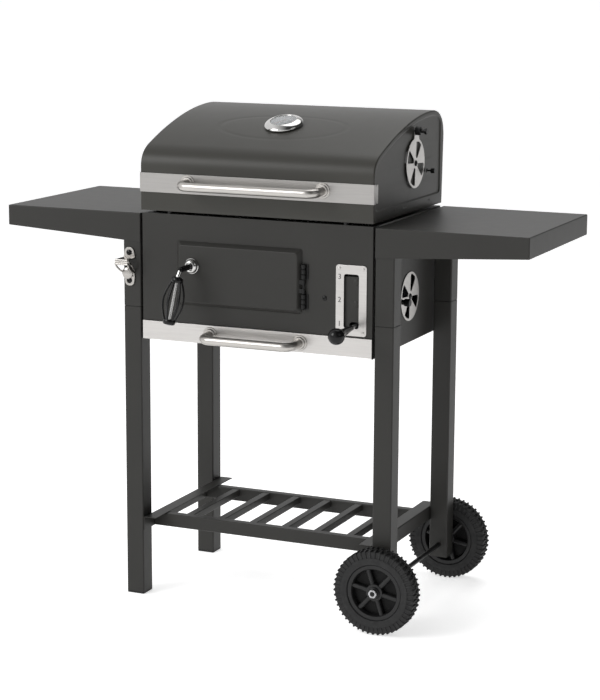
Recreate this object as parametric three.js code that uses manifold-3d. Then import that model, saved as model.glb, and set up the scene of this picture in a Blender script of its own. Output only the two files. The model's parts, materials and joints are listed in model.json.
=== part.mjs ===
// Charcoal trolley barbecue: lidded sheet-steel firebox on four square legs, two side
// tables, a slatted shelf and two wheels. Millimetres, +Z up, +X to the right, front at -Y.
import * as THREE from 'three';
import { ConvexGeometry } from 'three/addons/geometries/ConvexGeometry.js';
import { mergeVertices } from 'three/addons/utils/BufferGeometryUtils.js';
import Module from 'manifold-3d';

const wasm = await Module();
wasm.setup();

// ---------------------------------------------------------------- driving dimensions
const GAP = 0.3; // clearance between touching pieces
const SHEET = 1.5; // sheet steel

const BOX_HALF = 255.5; // half width of the firebox
const LID_HALF = 257.2; // half width of the lid
const BOX_DEPTH = 379;
const BOX_TOP = 818;
const BOX_SIDE_BOTTOM = 553;
const BOX_FRONT_BOTTOM = 595;
const RIM = 15; // folded rim round the top of the firebox

const LEG = 40;
const LEG_WALL = 1.5;
const LEG_IN = 260.5; // inner face of every leg
const LEG_BACK_Y = 333; // front face of the back legs
const LEG_JOINT = 621;
const LEG_TOP = 814.4;
const RIGHT_LEG_END = 60;
const FOOT_HEIGHT = 4; // what shows of the plastic foot under the tube

const TABLE_OUT = 575;
const TABLE_TOP = 816.5;
const TABLE_BACK = 388;
const APRON_INNER = 60;
const APRON_OUTER = 42;

const LID_BOTTOM = 824;
const LID_FRONT_Y = -3;
const BAND_LOW = 861.7;
const BAND_HIGH = 900.7;
const HINGE_Y = 390;
const HINGE_Z = 821;
const HINGE_R = 6;

const VENT_Y = 203;
const VENT_Z = 650;
const LID_VENT_Y = 219;
const LID_VENT_Z = 922.5;
const VENT_R = 51;

const DOOR = { left: -175, right: 105, low: 633, high: 765, rise: 10, bevel: 8 };
const DOOR_HOLE = { left: -162, right: 92, low: 646, high: 752 };
const DOOR_HINGE_X = 109;
const DOOR_HINGE_Y = -5;
const KNUCKLE_R = 4.5;
const HANDLE_X = -137; // turning axis of the door handle
const HANDLE_Z = 716;

const WINDOW = { left: 194.9, right: 227, low: 612.8, high: 721.4 };
const LEVER_X = 219;
const LEVER_Z = 618;
const LEVER_PIVOT_Y = 60;
const KNOB_R = 17;

const TRAY_LOW = 557;
const DRAWER_LOW = 555.6;
const DRAWER_HIGH = 594.2;

const PAN_LOW = 628;
const PAN_HIGH = 683;
const GRATE_LOW = 797;
const LEDGE_TOP = GRATE_LOW - GAP;
const LEDGE = 26; // how far the grates' ledges reach in from the outer faces

const SHELF_LOW = 141;
const SHELF_HIGH = 170.6;
const SLAT_PITCH = 73.7;
const SLAT_COUNT = 6;

const WHEEL_R = 87.5;
const AXLE_X = 282;
const AXLE_R = 5;
const FRONT_Y = -112; // frontmost point: the lever's ball knob
const BACK_Y = 422; // rearmost point: the back axle nut
const CENTRE_Y = (FRONT_Y + BACK_Y) / 2;

// ---------------------------------------------------------------- materials
const paint = (color, roughness = 0.55) => ({ color, roughness, metalness: 0.3 });
const FINISH = {
  anthracite: paint(0x42413e),
  lidPaint: paint(0x57564f, 0.5),
  blackPaint: paint(0x1c1c1c, 0.5),
  enamel: paint(0x18181a, 0.3),
  stainless: { color: 0xc4c2bf, roughness: 0.35, metalness: 1 },
  chrome: { color: 0xdedede, roughness: 0.12, metalness: 1 },
  zinc: { color: 0xa9aaab, roughness: 0.4, metalness: 1 },
  plastic: { color: 0x1a1a1b, roughness: 0.45, metalness: 0 },
  glass: { color: 0xdfe6e8, roughness: 0.05, metalness: 0 },
  tyre: { color: 0x222223, roughness: 0.7, metalness: 0 },
  rubber: { color: 0x171717, roughness: 0.8, metalness: 0 },
};

const model = new THREE.Group();
model.position.y = -CENTRE_Y;

function add(name, geometry, finish) {
  const mesh = new THREE.Mesh(geometry, new THREE.MeshStandardMaterial(FINISH[finish]));
  mesh.name = name;
  model.add(mesh);
}

// ---------------------------------------------------------------- solids
function toSolid(geometry) {
  const plain = geometry.clone();
  plain.deleteAttribute('normal');
  plain.deleteAttribute('uv');
  const merged = mergeVertices(plain, 1e-4);
  return new wasm.Manifold(new wasm.Mesh({
    numProp: 3,
    vertProperties: new Float32Array(merged.attributes.position.array),
    triVerts: new Uint32Array(merged.index.array),
  }));
}

function toGeometry(solid) {
  const mesh = solid.getMesh();
  const geometry = new THREE.BufferGeometry();
  geometry.setAttribute('position', new THREE.BufferAttribute(mesh.vertProperties, 3));
  geometry.setIndex(new THREE.BufferAttribute(mesh.triVerts, 1));
  return geometry;
}

function join(...geometries) {
  return toGeometry(geometries.map(toSolid).reduce((sum, solid) => sum.add(solid)));
}

function cut(body, ...tools) {
  return toGeometry(tools.map(toSolid).reduce((left, tool) => left.subtract(tool), toSolid(body)));
}

function block(x0, x1, y0, y1, z0, z1) {
  return new THREE.BoxGeometry(x1 - x0, y1 - y0, z1 - z0)
    .translate((x0 + x1) / 2, (y0 + y1) / 2, (z0 + z1) / 2);
}

// Round bar along +Z, +Y or +X between two values.
function barZ(x, y, radius, z0, z1, sides = 24) {
  return new THREE.CylinderGeometry(radius, radius, z1 - z0, sides)
    .rotateX(Math.PI / 2).translate(x, y, (z0 + z1) / 2);
}

function barY(x, z, radius, y0, y1, sides = 24) {
  return new THREE.CylinderGeometry(radius, radius, y1 - y0, sides).translate(x, (y0 + y1) / 2, z);
}

function barX(y, z, radius, x0, x1, sides = 24) {
  return new THREE.CylinderGeometry(radius, radius, x1 - x0, sides)
    .rotateZ(Math.PI / 2).translate((x0 + x1) / 2, y, z);
}

function flat(points) {
  return new THREE.Shape(points.map(([a, b]) => new THREE.Vector2(a, b)));
}

// Extrude a (y, z) outline along X.
function extrudeX(shape, x0, x1, curveSegments = 6) {
  return new THREE.ExtrudeGeometry(shape, { depth: x1 - x0, bevelEnabled: false, curveSegments })
    .rotateX(Math.PI / 2).rotateZ(Math.PI / 2).translate(x0, 0, 0);
}

// Extrude an (x, z) outline along Y.
function extrudeY(shape, y0, y1, curveSegments = 6) {
  return new THREE.ExtrudeGeometry(shape, { depth: y1 - y0, bevelEnabled: false, curveSegments })
    .rotateX(Math.PI / 2).translate(0, y1, 0);
}

function mirrorX(geometry) {
  const mirrored = geometry.clone().scale(-1, 1, 1);
  const index = mirrored.index ? mirrored.index.array : null;
  const swap = (array, a, b) => {
    const kept = array[a];
    array[a] = array[b];
    array[b] = kept;
  };
  if (index) {
    for (let i = 0; i < index.length; i += 3) swap(index, i, i + 2);
    return mirrored;
  }
  const position = mirrored.attributes.position.array;
  for (let i = 0; i < position.length; i += 9) {
    for (let k = 0; k < 3; k += 1) swap(position, i + k, i + 6 + k);
  }
  return mirrored;
}

// Round tube along a path of points with rounded corners.
function bentTube(points, radius, bendRadius, sides = 10, stepsPerPiece = 4) {
  const corners = points.map((p) => new THREE.Vector3(...p));
  const path = new THREE.CurvePath();
  let start = corners[0];
  for (let i = 1; i < corners.length - 1; i += 1) {
    const back = corners[i - 1].clone().sub(corners[i]).setLength(bendRadius);
    const ahead = corners[i + 1].clone().sub(corners[i]).setLength(bendRadius);
    const enter = corners[i].clone().add(back);
    const leave = corners[i].clone().add(ahead);
    path.add(new THREE.LineCurve3(start, enter));
    path.add(new THREE.QuadraticBezierCurve3(enter, corners[i], leave));
    start = leave;
  }
  path.add(new THREE.LineCurve3(start, corners[corners.length - 1]));
  const stops = [];
  path.curves.forEach((curve, number) => {
    const steps = curve.isLineCurve3 ? 1 : stepsPerPiece;
    for (let i = number === 0 ? 0 : 1; i <= steps; i += 1) stops.push(curve.getPoint(i / steps));
  });
  return sweep(stops, radius, sides);
}

// A path that steps straight from one stop to the next, with the tangent of each stop's
// neighbours.
class StopPath extends THREE.Curve {
  constructor(stops) {
    super();
    this.stops = stops;
  }

  getPoint(t) {
    return this.stops[Math.round(t * (this.stops.length - 1))].clone();
  }

  getPointAt(t) {
    return this.getPoint(t);
  }

  getTangentAt(t) {
    const last = this.stops.length - 1;
    const i = Math.round(t * last);
    const before = this.stops[Math.max(i - 1, 0)];
    return this.stops[Math.min(i + 1, last)].clone().sub(before).normalize();
  }
}

// Round bar whose section stands at each stop, square to the path there.
function sweep(stops, radius, sides) {
  const section = flat(Array.from({ length: sides }, (_, k) => {
    const angle = (2 * Math.PI * k) / sides;
    return [radius * Math.cos(angle), radius * Math.sin(angle)];
  }));
  return new THREE.ExtrudeGeometry(section, {
    steps: stops.length - 1, extrudePath: new StopPath(stops), bevelEnabled: false,
  });
}

// ---------------------------------------------------------------- vents
const VENT_HOLE_OUT = 46;
const VENT_HOLE_IN = 12;
const VENT_HOLES = 4;
const VENT_HOLE_HALF = THREE.MathUtils.degToRad(18);
const VENT_PHASE = THREE.MathUtils.degToRad(68); // first opening, from +Y towards +Z
const VENT_TURN = THREE.MathUtils.degToRad(45); // from open to closed

// Wedge openings round a vent's centre, as one set of cutters along X.
function ventCutters(y, z, x0, x1, phase) {
  const cutters = [];
  for (let i = 0; i < VENT_HOLES; i += 1) {
    const middle = (2 * Math.PI * i) / VENT_HOLES + phase;
    const wedge = new THREE.Shape();
    wedge.absarc(y, z, VENT_HOLE_OUT, middle - VENT_HOLE_HALF, middle + VENT_HOLE_HALF, false);
    wedge.absarc(y, z, VENT_HOLE_IN, middle + VENT_HOLE_HALF, middle - VENT_HOLE_HALF, true);
    cutters.push(extrudeX(wedge, x0, x1, 4));
  }
  return cutters;
}

// Turning disc on a right-hand face at x = wall, with its centre rivet.
function ventDisc(wall, y, z) {
  const face = wall + GAP;
  const plate = barX(y, z, VENT_R, face, face + SHEET, 32);
  const rivet = barX(y, z, 6, face, face + 4, 12);
  return cut(join(plate, rivet), ...ventCutters(y, z, face - 1, face + 5, VENT_PHASE));
}

// The lid's disc has a tab at its top that carries the knob.
function lidVent() {
  const face = LID_HALF + GAP;
  const y = LID_VENT_Y;
  const top = LID_VENT_Z + VENT_R;
  const tab = block(face, face + SHEET, y - 9, y + 17, top - 12, top + 16);
  const knobZ = top + 15;
  const body = barX(y - 1, knobZ, 8.7, face + 0.5, face + 13, 16);
  const neck = barX(y - 1, knobZ, 4, face + 12, face + 21, 12);
  const end = barX(y - 1, knobZ, 6.5, face + 20, face + 26, 12);
  return join(ventDisc(LID_HALF, y, LID_VENT_Z), tab, body, neck, end);
}

// The firebox disc carries its knob near the front edge.
function fireboxVent() {
  const face = BOX_HALF + GAP;
  const knob = barX(VENT_Y - 43, VENT_Z - 6, 7.5, face + 0.5, face + 19, 16);
  return join(ventDisc(BOX_HALF, VENT_Y, VENT_Z), knob);
}

// ---------------------------------------------------------------- firebox
function firebox() {
  const inner = BOX_HALF - SHEET;
  const shell = cut(
    block(-BOX_HALF, BOX_HALF, 0, BOX_DEPTH, BOX_SIDE_BOTTOM, BOX_TOP),
    block(-inner, inner, SHEET, BOX_DEPTH - SHEET, BOX_SIDE_BOTTOM - 10, BOX_TOP - SHEET),
    block(-BOX_HALF + RIM, BOX_HALF - RIM, RIM, BOX_DEPTH - RIM, BOX_TOP - 5, BOX_TOP + 5),
    block(-inner, inner, -5, SHEET + 1, BOX_SIDE_BOTTOM - 5, BOX_FRONT_BOTTOM),
    block(DOOR_HOLE.left, DOOR_HOLE.right, -5, SHEET + 1, DOOR_HOLE.low, DOOR_HOLE.high),
    block(WINDOW.left - 2, WINDOW.right + 2, -5, SHEET + 1, WINDOW.low - 2, WINDOW.high + 2),
    ...ventCutters(VENT_Y, VENT_Z, inner - 5, BOX_HALF + 5, VENT_PHASE),
    ...ventCutters(VENT_Y, VENT_Z, -BOX_HALF - 5, -inner + 5, VENT_PHASE),
  );
  const frontLedge = block(-inner, 178, SHEET / 2, LEDGE, LEDGE_TOP - SHEET, LEDGE_TOP);
  const backLedge = block(
    -inner, inner, BOX_DEPTH - LEDGE, BOX_DEPTH - SHEET / 2, LEDGE_TOP - SHEET, LEDGE_TOP,
  );
  return join(shell, frontLedge, backLedge);
}
add('firebox_shell', firebox(), 'anthracite');

for (const [side, sign] of [['left', -1], ['right', 1]]) {
  const disc = fireboxVent();
  add(`firebox_vent_${side}`, sign > 0 ? disc : mirrorX(disc), 'stainless');
}

// Rubber stops on the front rim that carry the closed lid.
for (const [side, x] of [['left', -195], ['right', 195]]) {
  add(`lid_stop_${side}`, barZ(x, 6, 4.5, BOX_TOP + GAP, LID_BOTTOM - GAP, 12), 'rubber');
}

// ---------------------------------------------------------------- legs
const NECK = LEG - 2 * LEG_WALL - 0.8; // swaged end that plugs into the upper leg
const NECK_LENGTH = 45;

function squareTube(size, wall, z0, z1) {
  const shape = flat([[-size / 2, -size / 2], [size / 2, -size / 2], [size / 2, size / 2],
    [-size / 2, size / 2]]);
  const bore = size / 2 - wall;
  shape.holes.push(new THREE.Path([[-bore, -bore], [-bore, bore], [bore, bore], [bore, -bore]]
    .map(([a, b]) => new THREE.Vector2(a, b))));
  return new THREE.ExtrudeGeometry(shape, { depth: z1 - z0, bevelEnabled: false })
    .translate(0, 0, z0);
}

function lowerLeg(bottom) {
  const bore = NECK / 2 - LEG_WALL;
  return cut(
    join(
      block(-LEG / 2, LEG / 2, -LEG / 2, LEG / 2, bottom, LEG_JOINT - 0.5),
      block(-NECK / 2, NECK / 2, -NECK / 2, NECK / 2, bottom + 10, LEG_JOINT + NECK_LENGTH),
    ),
    block(-bore, bore, -bore, bore, bottom - 10, LEG_JOINT + NECK_LENGTH + 10),
  );
}

for (const [end, legY] of [['front', LEG / 2], ['back', LEG_BACK_Y + LEG / 2]]) {
  for (const [side, sign] of [['left', -1], ['right', 1]]) {
    const legX = sign * (LEG_IN + LEG / 2);
    const upper = squareTube(LEG, LEG_WALL, LEG_JOINT + 0.5, LEG_TOP).translate(legX, legY, 0);
    add(`upper_leg_${end}_${side}`, upper, 'anthracite');
    const bottom = sign > 0 ? RIGHT_LEG_END : FOOT_HEIGHT;
    let lower = lowerLeg(bottom).translate(legX, legY, 0);
    if (sign > 0) {
      lower = cut(lower, barY(AXLE_X, WHEEL_R, AXLE_R + GAP, legY - LEG, legY + LEG));
    }
    add(`lower_leg_${end}_${side}`, lower, 'anthracite');
  }
  // Plastic foot: a plug inside the tube over a thin square pad of the tube's size.
  const plug = NECK - 2 * LEG_WALL - 0.8;
  const foot = join(
    block(-LEG / 2, LEG / 2, -LEG / 2, LEG / 2, 0, FOOT_HEIGHT - GAP),
    block(-plug / 2, plug / 2, -plug / 2, plug / 2, FOOT_HEIGHT / 2, FOOT_HEIGHT + 25),
  );
  add(`foot_${end}_left`, foot.translate(-LEG_IN - LEG / 2, legY, 0), 'plastic');
}

// ---------------------------------------------------------------- side tables
function sideTable() {
  const inX = LEG_IN + GAP;
  const front = -GAP - SHEET;
  const side = flat([[inX, TABLE_TOP - APRON_INNER], [TABLE_OUT, TABLE_TOP - APRON_OUTER],
    [TABLE_OUT, TABLE_TOP], [inX, TABLE_TOP]]);
  const body = extrudeY(side, front, TABLE_BACK);
  const hollow = block(
    inX - 10, TABLE_OUT - SHEET, front + SHEET, TABLE_BACK - SHEET, TABLE_TOP - 80, TABLE_TOP - SHEET,
  );
  const rib = block(LEG_IN + LEG + 4, TABLE_OUT - SHEET / 2, 185, 200, TABLE_TOP - 18, TABLE_TOP - 1);
  return join(cut(body, hollow), rib);
}
add('side_table_right', sideTable(), 'anthracite');
add('side_table_left', mirrorX(sideTable()), 'anthracite');

// ---------------------------------------------------------------- bottom shelf
const SHELF_RAIL_IN = 231;
const SHELF_END = LEG_BACK_Y + LEG - 2;

function shelfRail() {
  return join(
    block(LEG_IN - GAP - SHEET, LEG_IN - GAP, 2, SHELF_END, SHELF_LOW, SHELF_HIGH),
    block(SHELF_RAIL_IN, LEG_IN - GAP, 2, SHELF_END, SHELF_HIGH - SHEET, SHELF_HIGH),
  );
}
add('shelf_rail_right', shelfRail(), 'anthracite');
add('shelf_rail_left', mirrorX(shelfRail()), 'anthracite');

const CROSS_HALF = LEG_IN - 2 * GAP - SHEET;
const CROSS_TOP = SHELF_HIGH - SHEET - GAP;

function crossRail(y0, y1) {
  const inner = flat([[y0, SHELF_LOW], [y1, SHELF_LOW], [y1, CROSS_TOP], [y0, CROSS_TOP]]);
  inner.holes.push(new THREE.Path([[y0 + SHEET, SHELF_LOW + SHEET], [y0 + SHEET, CROSS_TOP - SHEET],
    [y1 - SHEET, CROSS_TOP - SHEET], [y1 - SHEET, SHELF_LOW + SHEET]]
    .map(([a, b]) => new THREE.Vector2(a, b))));
  return extrudeX(inner, -CROSS_HALF, CROSS_HALF);
}

function shelfGrid() {
  const pieces = [crossRail(48, 68), crossRail(294, 314)];
  for (let i = 0; i < SLAT_COUNT; i += 1) {
    const x = (i - (SLAT_COUNT - 1) / 2) * SLAT_PITCH;
    pieces.push(block(x - 8.5, x + 8.5, 67.5, 294.5, CROSS_TOP - 16, CROSS_TOP - 1));
  }
  return join(...pieces);
}
add('shelf_grid', shelfGrid(), 'anthracite');

// ---------------------------------------------------------------- wheels
const WHEEL_WIDTH = 38;
const TYRE_IN = 58;
const HUB_R = 18;
const NUT_HEIGHT = 5;
const WHEEL_FRONT_Y = -44.3; // outer face of the front wheel's hub
const WHEEL_STAND = BACK_Y - NUT_HEIGHT + WHEEL_FRONT_Y;

function tyre(y) {
  const crown = 5;
  const profile = [[TYRE_IN, 2], [WHEEL_R - crown, 0], [WHEEL_R, crown],
    [WHEEL_R, WHEEL_WIDTH - crown], [WHEEL_R - crown, WHEEL_WIDTH], [TYRE_IN, WHEEL_WIDTH - 2],
    [TYRE_IN, 2]];
  return new THREE.LatheGeometry(profile.map(([r, h]) => new THREE.Vector2(r, h)), 40)
    .translate(AXLE_X, y, WHEEL_R);
}

// Moulded wheel: a ring and a hub joined by a closed web with six ribs on both of its faces.
function rim(y) {
  const ringOut = TYRE_IN - GAP;
  const ring = new THREE.LatheGeometry([[48, 3], [ringOut, 3], [ringOut, WHEEL_WIDTH - 3],
    [48, WHEEL_WIDTH - 3], [48, 3]].map(([r, h]) => new THREE.Vector2(r, h)), 40);
  const hub = new THREE.CylinderGeometry(HUB_R, HUB_R, WHEEL_WIDTH, 20)
    .translate(0, WHEEL_WIDTH / 2, 0);
  const web = new THREE.CylinderGeometry(50, 50, 4, 40).translate(0, WHEEL_WIDTH / 2, 0);
  const pieces = [ring, hub, web];
  for (let i = 0; i < 6; i += 1) {
    const spoke = new THREE.BoxGeometry(9, 22, 38).translate(0, WHEEL_WIDTH / 2, 32);
    pieces.push(spoke.rotateY((i * Math.PI) / 3));
  }
  const bore = new THREE.CylinderGeometry(AXLE_R + GAP, AXLE_R + GAP, 2 * WHEEL_WIDTH, 16)
    .translate(0, WHEEL_WIDTH / 2, 0);
  return cut(join(...pieces), bore).translate(AXLE_X, y, WHEEL_R);
}

for (const [end, y] of [['front', WHEEL_FRONT_Y], ['back', WHEEL_STAND - WHEEL_FRONT_Y - WHEEL_WIDTH]]) {
  add(`tyre_${end}`, tyre(y), 'tyre');
  add(`wheel_${end}`, rim(y), 'plastic');
}

function axle() {
  const nutFront = barY(AXLE_X, WHEEL_R, 9, WHEEL_FRONT_Y - NUT_HEIGHT - GAP, WHEEL_FRONT_Y - GAP, 6);
  const nutBack = barY(AXLE_X, WHEEL_R, 9, BACK_Y - NUT_HEIGHT + GAP, BACK_Y, 6);
  const rod = barY(AXLE_X, WHEEL_R, AXLE_R, WHEEL_FRONT_Y - 2, BACK_Y - 2, 16);
  return join(rod, nutFront, nutBack);
}
add('wheel_axle', axle(), 'blackPaint');

// ---------------------------------------------------------------- lid
const LID_THERMO = { x: 0, y: 139, tilt: 0.33 };

// Side outline of the lid, moved inwards by `inset`.
function lidOutline(inset) {
  const t = inset;
  const bottom = inset > 0 ? LID_BOTTOM - 20 : LID_BOTTOM;
  const shape = new THREE.Shape();
  shape.moveTo(LID_FRONT_Y + t, bottom);
  shape.lineTo(LID_FRONT_Y + t, 912);
  shape.bezierCurveTo(LID_FRONT_Y + t, 936, 12 + t, 950 - t, 36, 959 - t);
  shape.bezierCurveTo(116, 992 - t, 220, 1022 - t, 322, 1022.7 - t);
  shape.bezierCurveTo(356 - t, 1022.4 - t, 388.2 - t, 1008 - t, 387.6 - t, 965);
  shape.lineTo(382 - t, bottom);
  return shape;
}

function lidShell() {
  const hem = 12;
  const inner = LID_HALF - SHEET;
  const closed = VENT_PHASE + VENT_TURN;
  const hollow = cut(
    extrudeX(lidOutline(SHEET), -inner, inner, 8),
    block(-inner - 5, inner + 5, LID_FRONT_Y - 5, LID_FRONT_Y + hem, LID_BOTTOM - 50, LID_BOTTOM + SHEET),
    block(inner + SHEET - hem, inner + 5, -50, 360, LID_BOTTOM - 50, LID_BOTTOM + SHEET),
    block(-inner - 5, -inner - SHEET + hem, -50, 360, LID_BOTTOM - 50, LID_BOTTOM + SHEET),
  );
  return cut(
    extrudeX(lidOutline(0), -LID_HALF, LID_HALF, 8),
    hollow,
    ...ventCutters(LID_VENT_Y, LID_VENT_Z, inner - 5, LID_HALF + 5, closed),
    ...ventCutters(LID_VENT_Y, LID_VENT_Z, -LID_HALF - 5, -inner + 5, closed),
    lidProbeHole(),
  );
}

// Stands a solid made round +Z on the lid's slope at the thermometer.
function onLidSlope(geometry) {
  return geometry.rotateX(Math.atan(LID_THERMO.tilt)).translate(LID_THERMO.x, LID_THERMO.y, 995.6);
}

function lidProbeHole() {
  return onLidSlope(barZ(0, 0, 6, -20, 20, 16));
}
add('lid_shell', lidShell(), 'lidPaint');

// Stainless band across the lid front with short ears round both ends.
function lidBand() {
  const outX = LID_HALF + GAP + 1.2;
  const outY = LID_FRONT_Y - GAP - 1.2;
  return cut(
    block(-outX, outX, outY, 15, BAND_LOW, BAND_HIGH),
    block(-LID_HALF - GAP, LID_HALF + GAP, LID_FRONT_Y - GAP, 50, BAND_LOW - 5, BAND_HIGH + 5),
  );
}
add('lid_band', lidBand(), 'stainless');

// Bent tube handle with a round rosette at each foot; the feet stand on the plane y = back.
function tubeHandle(half, footZ, barZLevel, back) {
  const out = -47;
  const tube = bentTube([[-half, back - 1, footZ], [-half, out, barZLevel], [half, out, barZLevel],
    [half, back - 1, footZ]], 9.2, 22);
  const rosettes = [-half, half].map((x) => new THREE.LatheGeometry(
    [[0, 0], [16, 0], [16, 2], [13, 6], [0, 6]].map(([r, h]) => new THREE.Vector2(r, h)), 24)
    .rotateX(Math.PI).translate(x, back, footZ));
  return join(tube, ...rosettes);
}
add('lid_handle', tubeHandle(148.5, 884, 881, LID_FRONT_Y - 2 * GAP - 1.2), 'stainless');

// Domed thermometer case on the lid slope, with its stem inside.
function thermometerCase() {
  const dome = [[0, 1], [40, 1], [40.5, 3], [38, 8], [31, 11.5], [27, 12], [26, 11], [26, 10], [0, 10]];
  return onLidSlope(new THREE.LatheGeometry(dome.map(([r, h]) => new THREE.Vector2(r, h)), 32)
    .rotateX(Math.PI / 2));
}
add('thermometer_case', thermometerCase(), 'chrome');
add('thermometer_glass', onLidSlope(barZ(0, 0, 25.6, 10.3, 11.3)), 'glass');
add('thermometer_stem', onLidSlope(barZ(0, 0, 3, -52, 0.7, 12)), 'zinc');

for (const [side, sign] of [['left', -1], ['right', 1]]) {
  const disc = lidVent();
  add(`lid_vent_${side}`, sign > 0 ? disc : mirrorX(disc), 'stainless');
  const pin = join(
    barX(288, 901, 3, LID_HALF + GAP, LID_HALF + 18, 12),
    barX(288, 901, 5.5, LID_HALF + 10, LID_HALF + 18, 12),
  );
  add(`lid_pin_${side}`, sign > 0 ? pin : mirrorX(pin), 'plastic');
}

// Two barrel hinges at the back; the pin belongs to the lid's leaf.
for (const [side, x] of [['left', -190], ['right', 150]]) {
  const lower = cut(
    join(
      block(x, x + 19.4, BOX_DEPTH + GAP, BOX_DEPTH + 2.3, 780, 814),
      block(x, x + 19.4, BOX_DEPTH + GAP, HINGE_Y, 808, 816),
      barX(HINGE_Y, HINGE_Z, HINGE_R, x, x + 19.4, 20),
    ),
    barX(HINGE_Y, HINGE_Z, 3.4, x - 5, x + 25, 16),
  );
  add(`lid_hinge_base_${side}`, lower, 'zinc');
  const upper = join(
    block(x + 20, x + 40, 384, 387.5, 820, 862),
    barX(HINGE_Y, HINGE_Z, HINGE_R, x + 20, x + 40, 20),
    barX(HINGE_Y, HINGE_Z, 3, x - 2, x + 30, 16),
  );
  add(`lid_hinge_leaf_${side}`, upper, 'zinc');
}

// ---------------------------------------------------------------- fuel door
// Raised rectangular pan from y = base to y = top, its side walls leaning in.
function doorPan(inset, base, top) {
  const { left, right, low, high, bevel } = DOOR;
  const corners = [[inset, base], [inset + bevel, top]].flatMap(([edge, y]) => [
    [left + edge, y, low + edge], [right - edge, y, low + edge],
    [right - edge, y, high - edge], [left + edge, y, high - edge],
  ]);
  return new ConvexGeometry(corners.map((corner) => new THREE.Vector3(...corner)));
}

function fuelDoor() {
  const outer = doorPan(0, -GAP, -DOOR.rise);
  const inner = doorPan(SHEET, SHEET, SHEET - DOOR.rise);
  const tabs = [676, 693.7].map((z) => join(
    block(96, DOOR_HINGE_X, -6, -4, z, z + 10),
    barZ(DOOR_HINGE_X, DOOR_HINGE_Y, KNUCKLE_R, z, z + 10, 16),
  ));
  const pins = barZ(DOOR_HINGE_X, DOOR_HINGE_Y, 2.2, 645, 735, 12);
  const spindle = barY(HANDLE_X, HANDLE_Z, 6, -20, 20, 16);
  return join(cut(outer, inner, spindle), ...tabs, pins);
}
add('fuel_door', fuelDoor(), 'anthracite');

for (const [place, z] of [['lower', 644], ['upper', 704.5]]) {
  const knuckle = join(
    barZ(DOOR_HINGE_X, DOOR_HINGE_Y, KNUCKLE_R, z, z + 31, 16),
    block(DOOR_HINGE_X, DOOR_HINGE_X + 9, -GAP - SHEET, -GAP, z, z + 31),
    block(DOOR_HINGE_X, DOOR_HINGE_X + KNUCKLE_R, DOOR_HINGE_Y, -GAP, z, z + 31),
  );
  const bore = barZ(DOOR_HINGE_X, DOOR_HINGE_Y, 2.5, z - 5, z + 36, 12);
  add(`door_hinge_${place}`, cut(knuckle, bore), 'blackPaint');
}

// Round plate on the door through which the handle's spindle passes.
function doorRosette() {
  const dome = [[7, 0], [17, 0], [17, 3], [14, 8], [9, 12], [7, 12], [7, 0]];
  return new THREE.LatheGeometry(dome.map(([r, h]) => new THREE.Vector2(r, h)), 28)
    .rotateX(Math.PI).translate(HANDLE_X, -DOOR.rise - GAP, HANDLE_Z);
}
add('door_rosette', doorRosette(), 'chrome');

// Spindle, crank and steel core of the handle, with the tongue behind the door.
const GRIP_TOP = new THREE.Vector3(-140, -67, 700);
const GRIP_END = new THREE.Vector3(-152, -87, 606);

function handleRod() {
  const rod = bentTube([[HANDLE_X, 6, HANDLE_Z], [HANDLE_X, -62, HANDLE_Z], GRIP_TOP.toArray(),
    GRIP_END.toArray()], 4, 9);
  const tongue = block(HANDLE_X - 7, HANDLE_X + 7, 3, 5.5, HANDLE_Z - 30, HANDLE_Z + 8);
  return join(rod, tongue);
}
add('door_handle_rod', handleRod(), 'chrome');

function alongGrip(from, to, radius, hole, sides) {
  const axis = GRIP_END.clone().sub(GRIP_TOP);
  const length = axis.length();
  const turn = new THREE.Quaternion().setFromUnitVectors(
    new THREE.Vector3(0, 1, 0), axis.clone().normalize());
  const ring = (r, a, b) => new THREE.CylinderGeometry(r, r, b - a, sides)
    .translate(0, (a + b) / 2, 0).applyQuaternion(turn).translate(...GRIP_TOP.toArray());
  return cut(ring(radius, from * length, to * length), ring(hole, -20, length + 20));
}
add('grip_collar', alongGrip(0.02, 0.12, 7.5, 4.3, 16), 'plastic');

// Wire cage of the grip: bowed wires between two small rings.
function gripCage() {
  const axis = GRIP_END.clone().sub(GRIP_TOP);
  const unit = axis.clone().normalize();
  const side = new THREE.Vector3(1, 0, 0).addScaledVector(unit, -unit.x).normalize();
  const other = unit.clone().cross(side);
  const wires = [];
  for (let i = 0; i < 6; i += 1) {
    const angle = (i * Math.PI) / 3;
    const out = side.clone().multiplyScalar(Math.cos(angle)).addScaledVector(other, Math.sin(angle));
    const stops = [];
    for (let k = 0; k <= 6; k += 1) {
      const t = k / 6;
      const bow = 5.8 + 12 * Math.sin(Math.PI * t) ** 0.8;
      stops.push(GRIP_TOP.clone().addScaledVector(axis, 0.16 + 0.75 * t).addScaledVector(out, bow));
    }
    wires.push(sweep(stops, 2, 5));
  }
  return join(alongGrip(0.14, 0.2, 7.8, 4.3, 16), alongGrip(0.86, 0.97, 7.8, 4.3, 16), ...wires);
}
add('grip_cage', gripCage(), 'plastic');

// ---------------------------------------------------------------- ash drawer
function ashTray() {
  return cut(
    block(-248, 248, GAP, 368, TRAY_LOW, 588),
    block(-246.5, 246.5, GAP + SHEET, 366.5, TRAY_LOW + SHEET, 600),
  );
}
add('ash_tray', ashTray(), 'zinc');
add('ash_drawer_front', block(-BOX_HALF, BOX_HALF, -GAP - SHEET, -GAP, DRAWER_LOW, DRAWER_HIGH),
  'stainless');
add('ash_drawer_handle', tubeHandle(100, 575, 572, -2 * GAP - SHEET), 'stainless');

function drawerRunner() {
  return join(
    block(BOX_HALF - SHEET - GAP - SHEET, BOX_HALF - SHEET - GAP, 5, 372, 554, 572),
    block(240, BOX_HALF - SHEET - GAP, 5, 372, 554, TRAY_LOW - GAP),
  );
}
add('drawer_runner_right', drawerRunner(), 'zinc');
add('drawer_runner_left', mirrorX(drawerRunner()), 'zinc');

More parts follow.
